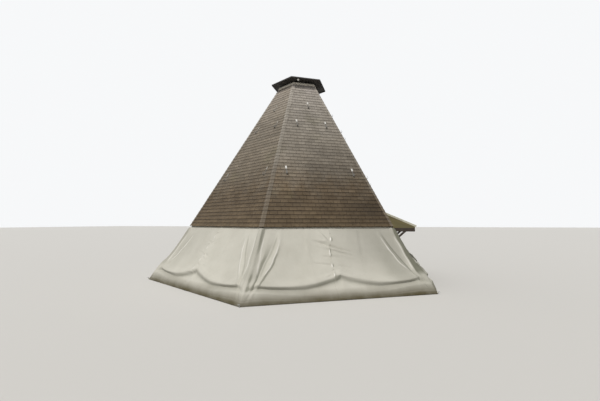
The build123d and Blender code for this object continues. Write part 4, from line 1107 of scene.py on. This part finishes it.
skirt_trims, band_screws, flap_studs = [], Fittings(), Fittings()
for corner, (name, grid) in enumerate(zip(CORNERS, skirt_grids)):
    normals = grid_normals(grid)
    raised = grid + normals * TRIM_LIFT
    run = run_of(grid[:, 1])
    for place in np.arange(SCREW_START, run[-1] - SCREW_END, SCREW_GAP):
        column = int(np.argmin(np.abs(run - place)))
        band_screws.turned(SCREW_TURN, raised[column, 1], normals[column, 1], 10)
    for height in CLOSURES if corner else ():
        column = round(FLAP_COLUMNS * min(0.4, STUD_IN / np.interp(height, *SEAM_FLAP)))
        row = int(np.argmin(np.abs(grid[column, :, 2] - height)))
        flap_studs.turned(STUD_TURN, grid[column, row], normals[column, row], 14)
    outward, _ = side_frame(corner + 0.5)
    corner_line = grid[int(np.argmax(grid[:, -1] @ outward))]
    inside, outside = at_height(corner_line, LOOP_HEIGHT) @ outward - 0.002, PEG_OUT + 0.0075
    turns = np.linspace(0, 2 * pi, 25)
    loop = on_side((outside + inside) / 2 - np.cos(turns) * (outside - inside) / 2, 0.0095 * np.sin(turns),
                   LOOP_HEIGHT, corner + 0.5)
    skirt_trims.append([
        tape_piece("skirt_band_" + name, raised[:, BAND_ROWS], TRIM_THICK, webbing_finish),
        tape_piece("skirt_hem_" + name, raised[:, HEM_ROWS], TRIM_THICK, canvas_finish),
        ribbon("skirt_loop_" + name, loop, (0, 0, -1), LOOP_WIDE, LOOP_THICK, 3)])
stud_metal = metal("stud_metal", (0.42, 0.40, 0.33, 1), (0.22, 0.20, 0.15, 1), 70.0, 0.6, 0.42, 0.5)
band_screws.piece("skirt_band_screws", stud_metal, "galvanised_steel")
flap_studs.piece("skirt_studs", stud_metal, "galvanised_steel")

# The tie straps: one of webbing round each gathered sheet beside the doorway, pulled tight over its pleats
# and closed by a galvanised wire buckle.
TIE_HEIGHT, TIE_COLUMNS, STRAP_STEPS = 0.80, 60, 90
STRAP_WIDE, STRAP_THICK, STRAP_FAR, STRAP_BACK = 0.040, 0.0022, 1.800, 1.640
STRAP_DOWN, STRAP_OUT = np.array([0.5156, 0.0, -0.8568]), np.array([0.857, 0, 0.5156])
BUCKLE_STEP, BUCKLE_WIDE, BUCKLE_HIGH, BUCKLE_ROUND, BUCKLE_WIRE = 14, 0.016, 0.026, 0.006, 0.0021


def hull_over(line, hand):
    """The line of a strap pulled tight over points (along, out): hand is 1 over them and -1 under them."""
    tight = []
    for along, out in line:
        while len(tight) > 1 and hand * ((tight[-1][1] - tight[-2][1]) * (along - tight[-2][0])
                                         - (out - tight[-2][1]) * (tight[-1][0] - tight[-2][0])) <= 0:
            tight.pop()
        tight.append((along, out))
    return tight


def buckle_parts(centre, across, down):
    """A rectangular ring of round wire with rounded corners."""
    out, path = np.cross(across, down), []
    for k, (right, low) in enumerate(((1, 1), (-1, 1), (-1, -1), (1, -1))):
        for turn in ((k + step / 4) * pi / 2 for step in range(5)):
            path.append(centre + across * (right * (BUCKLE_WIDE - BUCKLE_ROUND) + BUCKLE_ROUND * cos(turn))
                        + down * (low * (BUCKLE_HIGH - BUCKLE_ROUND) + BUCKLE_ROUND * sin(turn)))
    points, faces, count = [], [], len(path)
    for i, place in enumerate(path):
        ahead = path[(i + 1) % count] - path[i - 1]
        aside = np.cross(ahead / np.linalg.norm(ahead), out)
        here, there = i * 8, (i + 1) % count * 8
        for step in range(8):
            turn, after = step * pi / 4, (step + 1) % 8
            points.append(place + (aside * cos(turn) + out * sin(turn)) * BUCKLE_WIRE)
            faces.append((here + step, here + after, there + after, there + step))
    return points, faces


buckles = Fittings()
for hand, corner, name in ((1, 0, "right"), (-1, 5, "left")):
    crossings = [at_height(column, TIE_HEIGHT) for column in skirt_grids[corner][::hand][:TIE_COLUMNS]]
    line = [(hand * y, x) for x, y, _ in crossings]
    over = hull_over([point for point in line if point[0] <= STRAP_FAR], 1)
    under = hull_over([point for point in line if point[0] <= STRAP_BACK], -1)
    edge, front, back = line[0][0] - 0.004, over[0][1] + 0.003, under[0][1] - 0.007
    route = [(along, out + 0.0032) for along, out in over[::-1]]
    route += [(edge - 0.006 * sin(turn), (front + back) / 2 + (front - back) / 2 * cos(turn))
              for turn in np.linspace(0.3, pi - 0.3, 7)]
    route = np.array(route + [(along, out - 0.0062) for along, out in under])
    run = run_of(route)
    even = np.linspace(0, run[-1], STRAP_STEPS)
    smooth = np.column_stack([np.interp(even, run, route[:, i]) for i in (0, 1)])
    soften(smooth, 2)
    path = np.column_stack([smooth[:, 1], hand * smooth[:, 0], np.full(STRAP_STEPS, TIE_HEIGHT)])
    strap = ribbon("tie_strap_" + name, path, STRAP_DOWN, STRAP_WIDE, STRAP_THICK)
    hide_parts("canvas_tie_straps")
    skirt_trims[corner].append(strap)
    buckles.put(*buckle_parts(path[BUCKLE_STEP] + STRAP_OUT * STRAP_THICK, np.array([0.0, 1.0, 0.0]),
                              STRAP_DOWN))
buckles.piece("tie_buckles", galvanised, "galvanised_steel")

# The canopy over the entrance: softwood boards and slates on four rafters, with boarded cheeks between the
# side beams and the roof, a folded metal strip along each sloping edge, and metal dressed onto the main
# slates round it.
CANOPY_FRONT, CANOPY_TOP, CANOPY_PITCH, CANOPY_WIDE = 3.59045, 1.6057, radians(24), 1.030
CANOPY_UP, CANOPY_EDGE, CANOPY_ROWS, CANOPY_DECK = 0.868, 0.050, 9, 0.018
CANOPY_COURSE, CANOPY_GAP, CANOPY_HEAD_GAP, STRIP_CHAMFER = 0.105, 0.002, 0.012, 0.001


def canopy_points(points):
    along, up, out = np.asarray(points, float).T
    x = CANOPY_FRONT - up * cos(CANOPY_PITCH) + out * sin(CANOPY_PITCH)
    return np.column_stack([x, along, CANOPY_TOP + up * sin(CANOPY_PITCH) + out * cos(CANOPY_PITCH)])


canopy_slates, canopy_deck, draws = Courses(), Courses(), random.Random(77)
slate_courses(canopy_slates, draws, CANOPY_ROWS, 2 * CANOPY_WIDE, CANOPY_UP,
              (1, 0, CANOPY_WIDE), (-1, 0, CANOPY_WIDE), (0, 1, CANOPY_UP))
mesh = canopy_slates.mesh("laid_canopy_slates",
                          lambda points: canopy_points(np.asarray(points) - [0, CANOPY_EDGE, 0]))
new_piece("laid_canopy_slates", mesh, slate_finish, "canopy_slates")
up = CANOPY_GAP
while up < CANOPY_UP - LEAST_BOARD:
    top = min(up + CANOPY_COURSE - CANOPY_GAP, CANOPY_UP - CANOPY_HEAD_GAP)
    canopy_deck.board(rectangle(-CANOPY_WIDE, CANOPY_WIDE, up, top), -SLATE_LAYER, CANOPY_DECK, draws)
    up += CANOPY_COURSE
new_piece("laid_canopy_boards", canopy_deck.mesh("laid_canopy_boards", canopy_points), board_wood,
          "canopy_boards")
# Painted shade: the cheek boards are darkened olive-brown, as in the shade under the canopy.
shaded_cheek_wood = wood("cheek_timber", (0.185, 0.150, 0.060, 1), (0.090, 0.070, 0.028, 1),
                  (0.115, 0.110, 0.060, 1), 0.6)
# The edge metal is pale cream tinted yellow-green, partly a painted reflection of the foliage.
verge_metal = metal("verge_strip", (0.55, 0.53, 0.43, 1), (0.36, 0.34, 0.26, 1), 14.0, 0.5, 0.5, 0.1)
dressed("canopy_cheeks", shaded_cheek_wood, BOARD_CHAMFER, 15)
dressed("canopy_edge_trims", verge_metal, STRIP_CHAMFER)
dressed("canopy_flashing", verge_metal, STRIP_CHAMFER)

# Each sheet with its trims as a list.
for i, sheet in enumerate(skirt_sheets):
    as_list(skirt_trims[i])
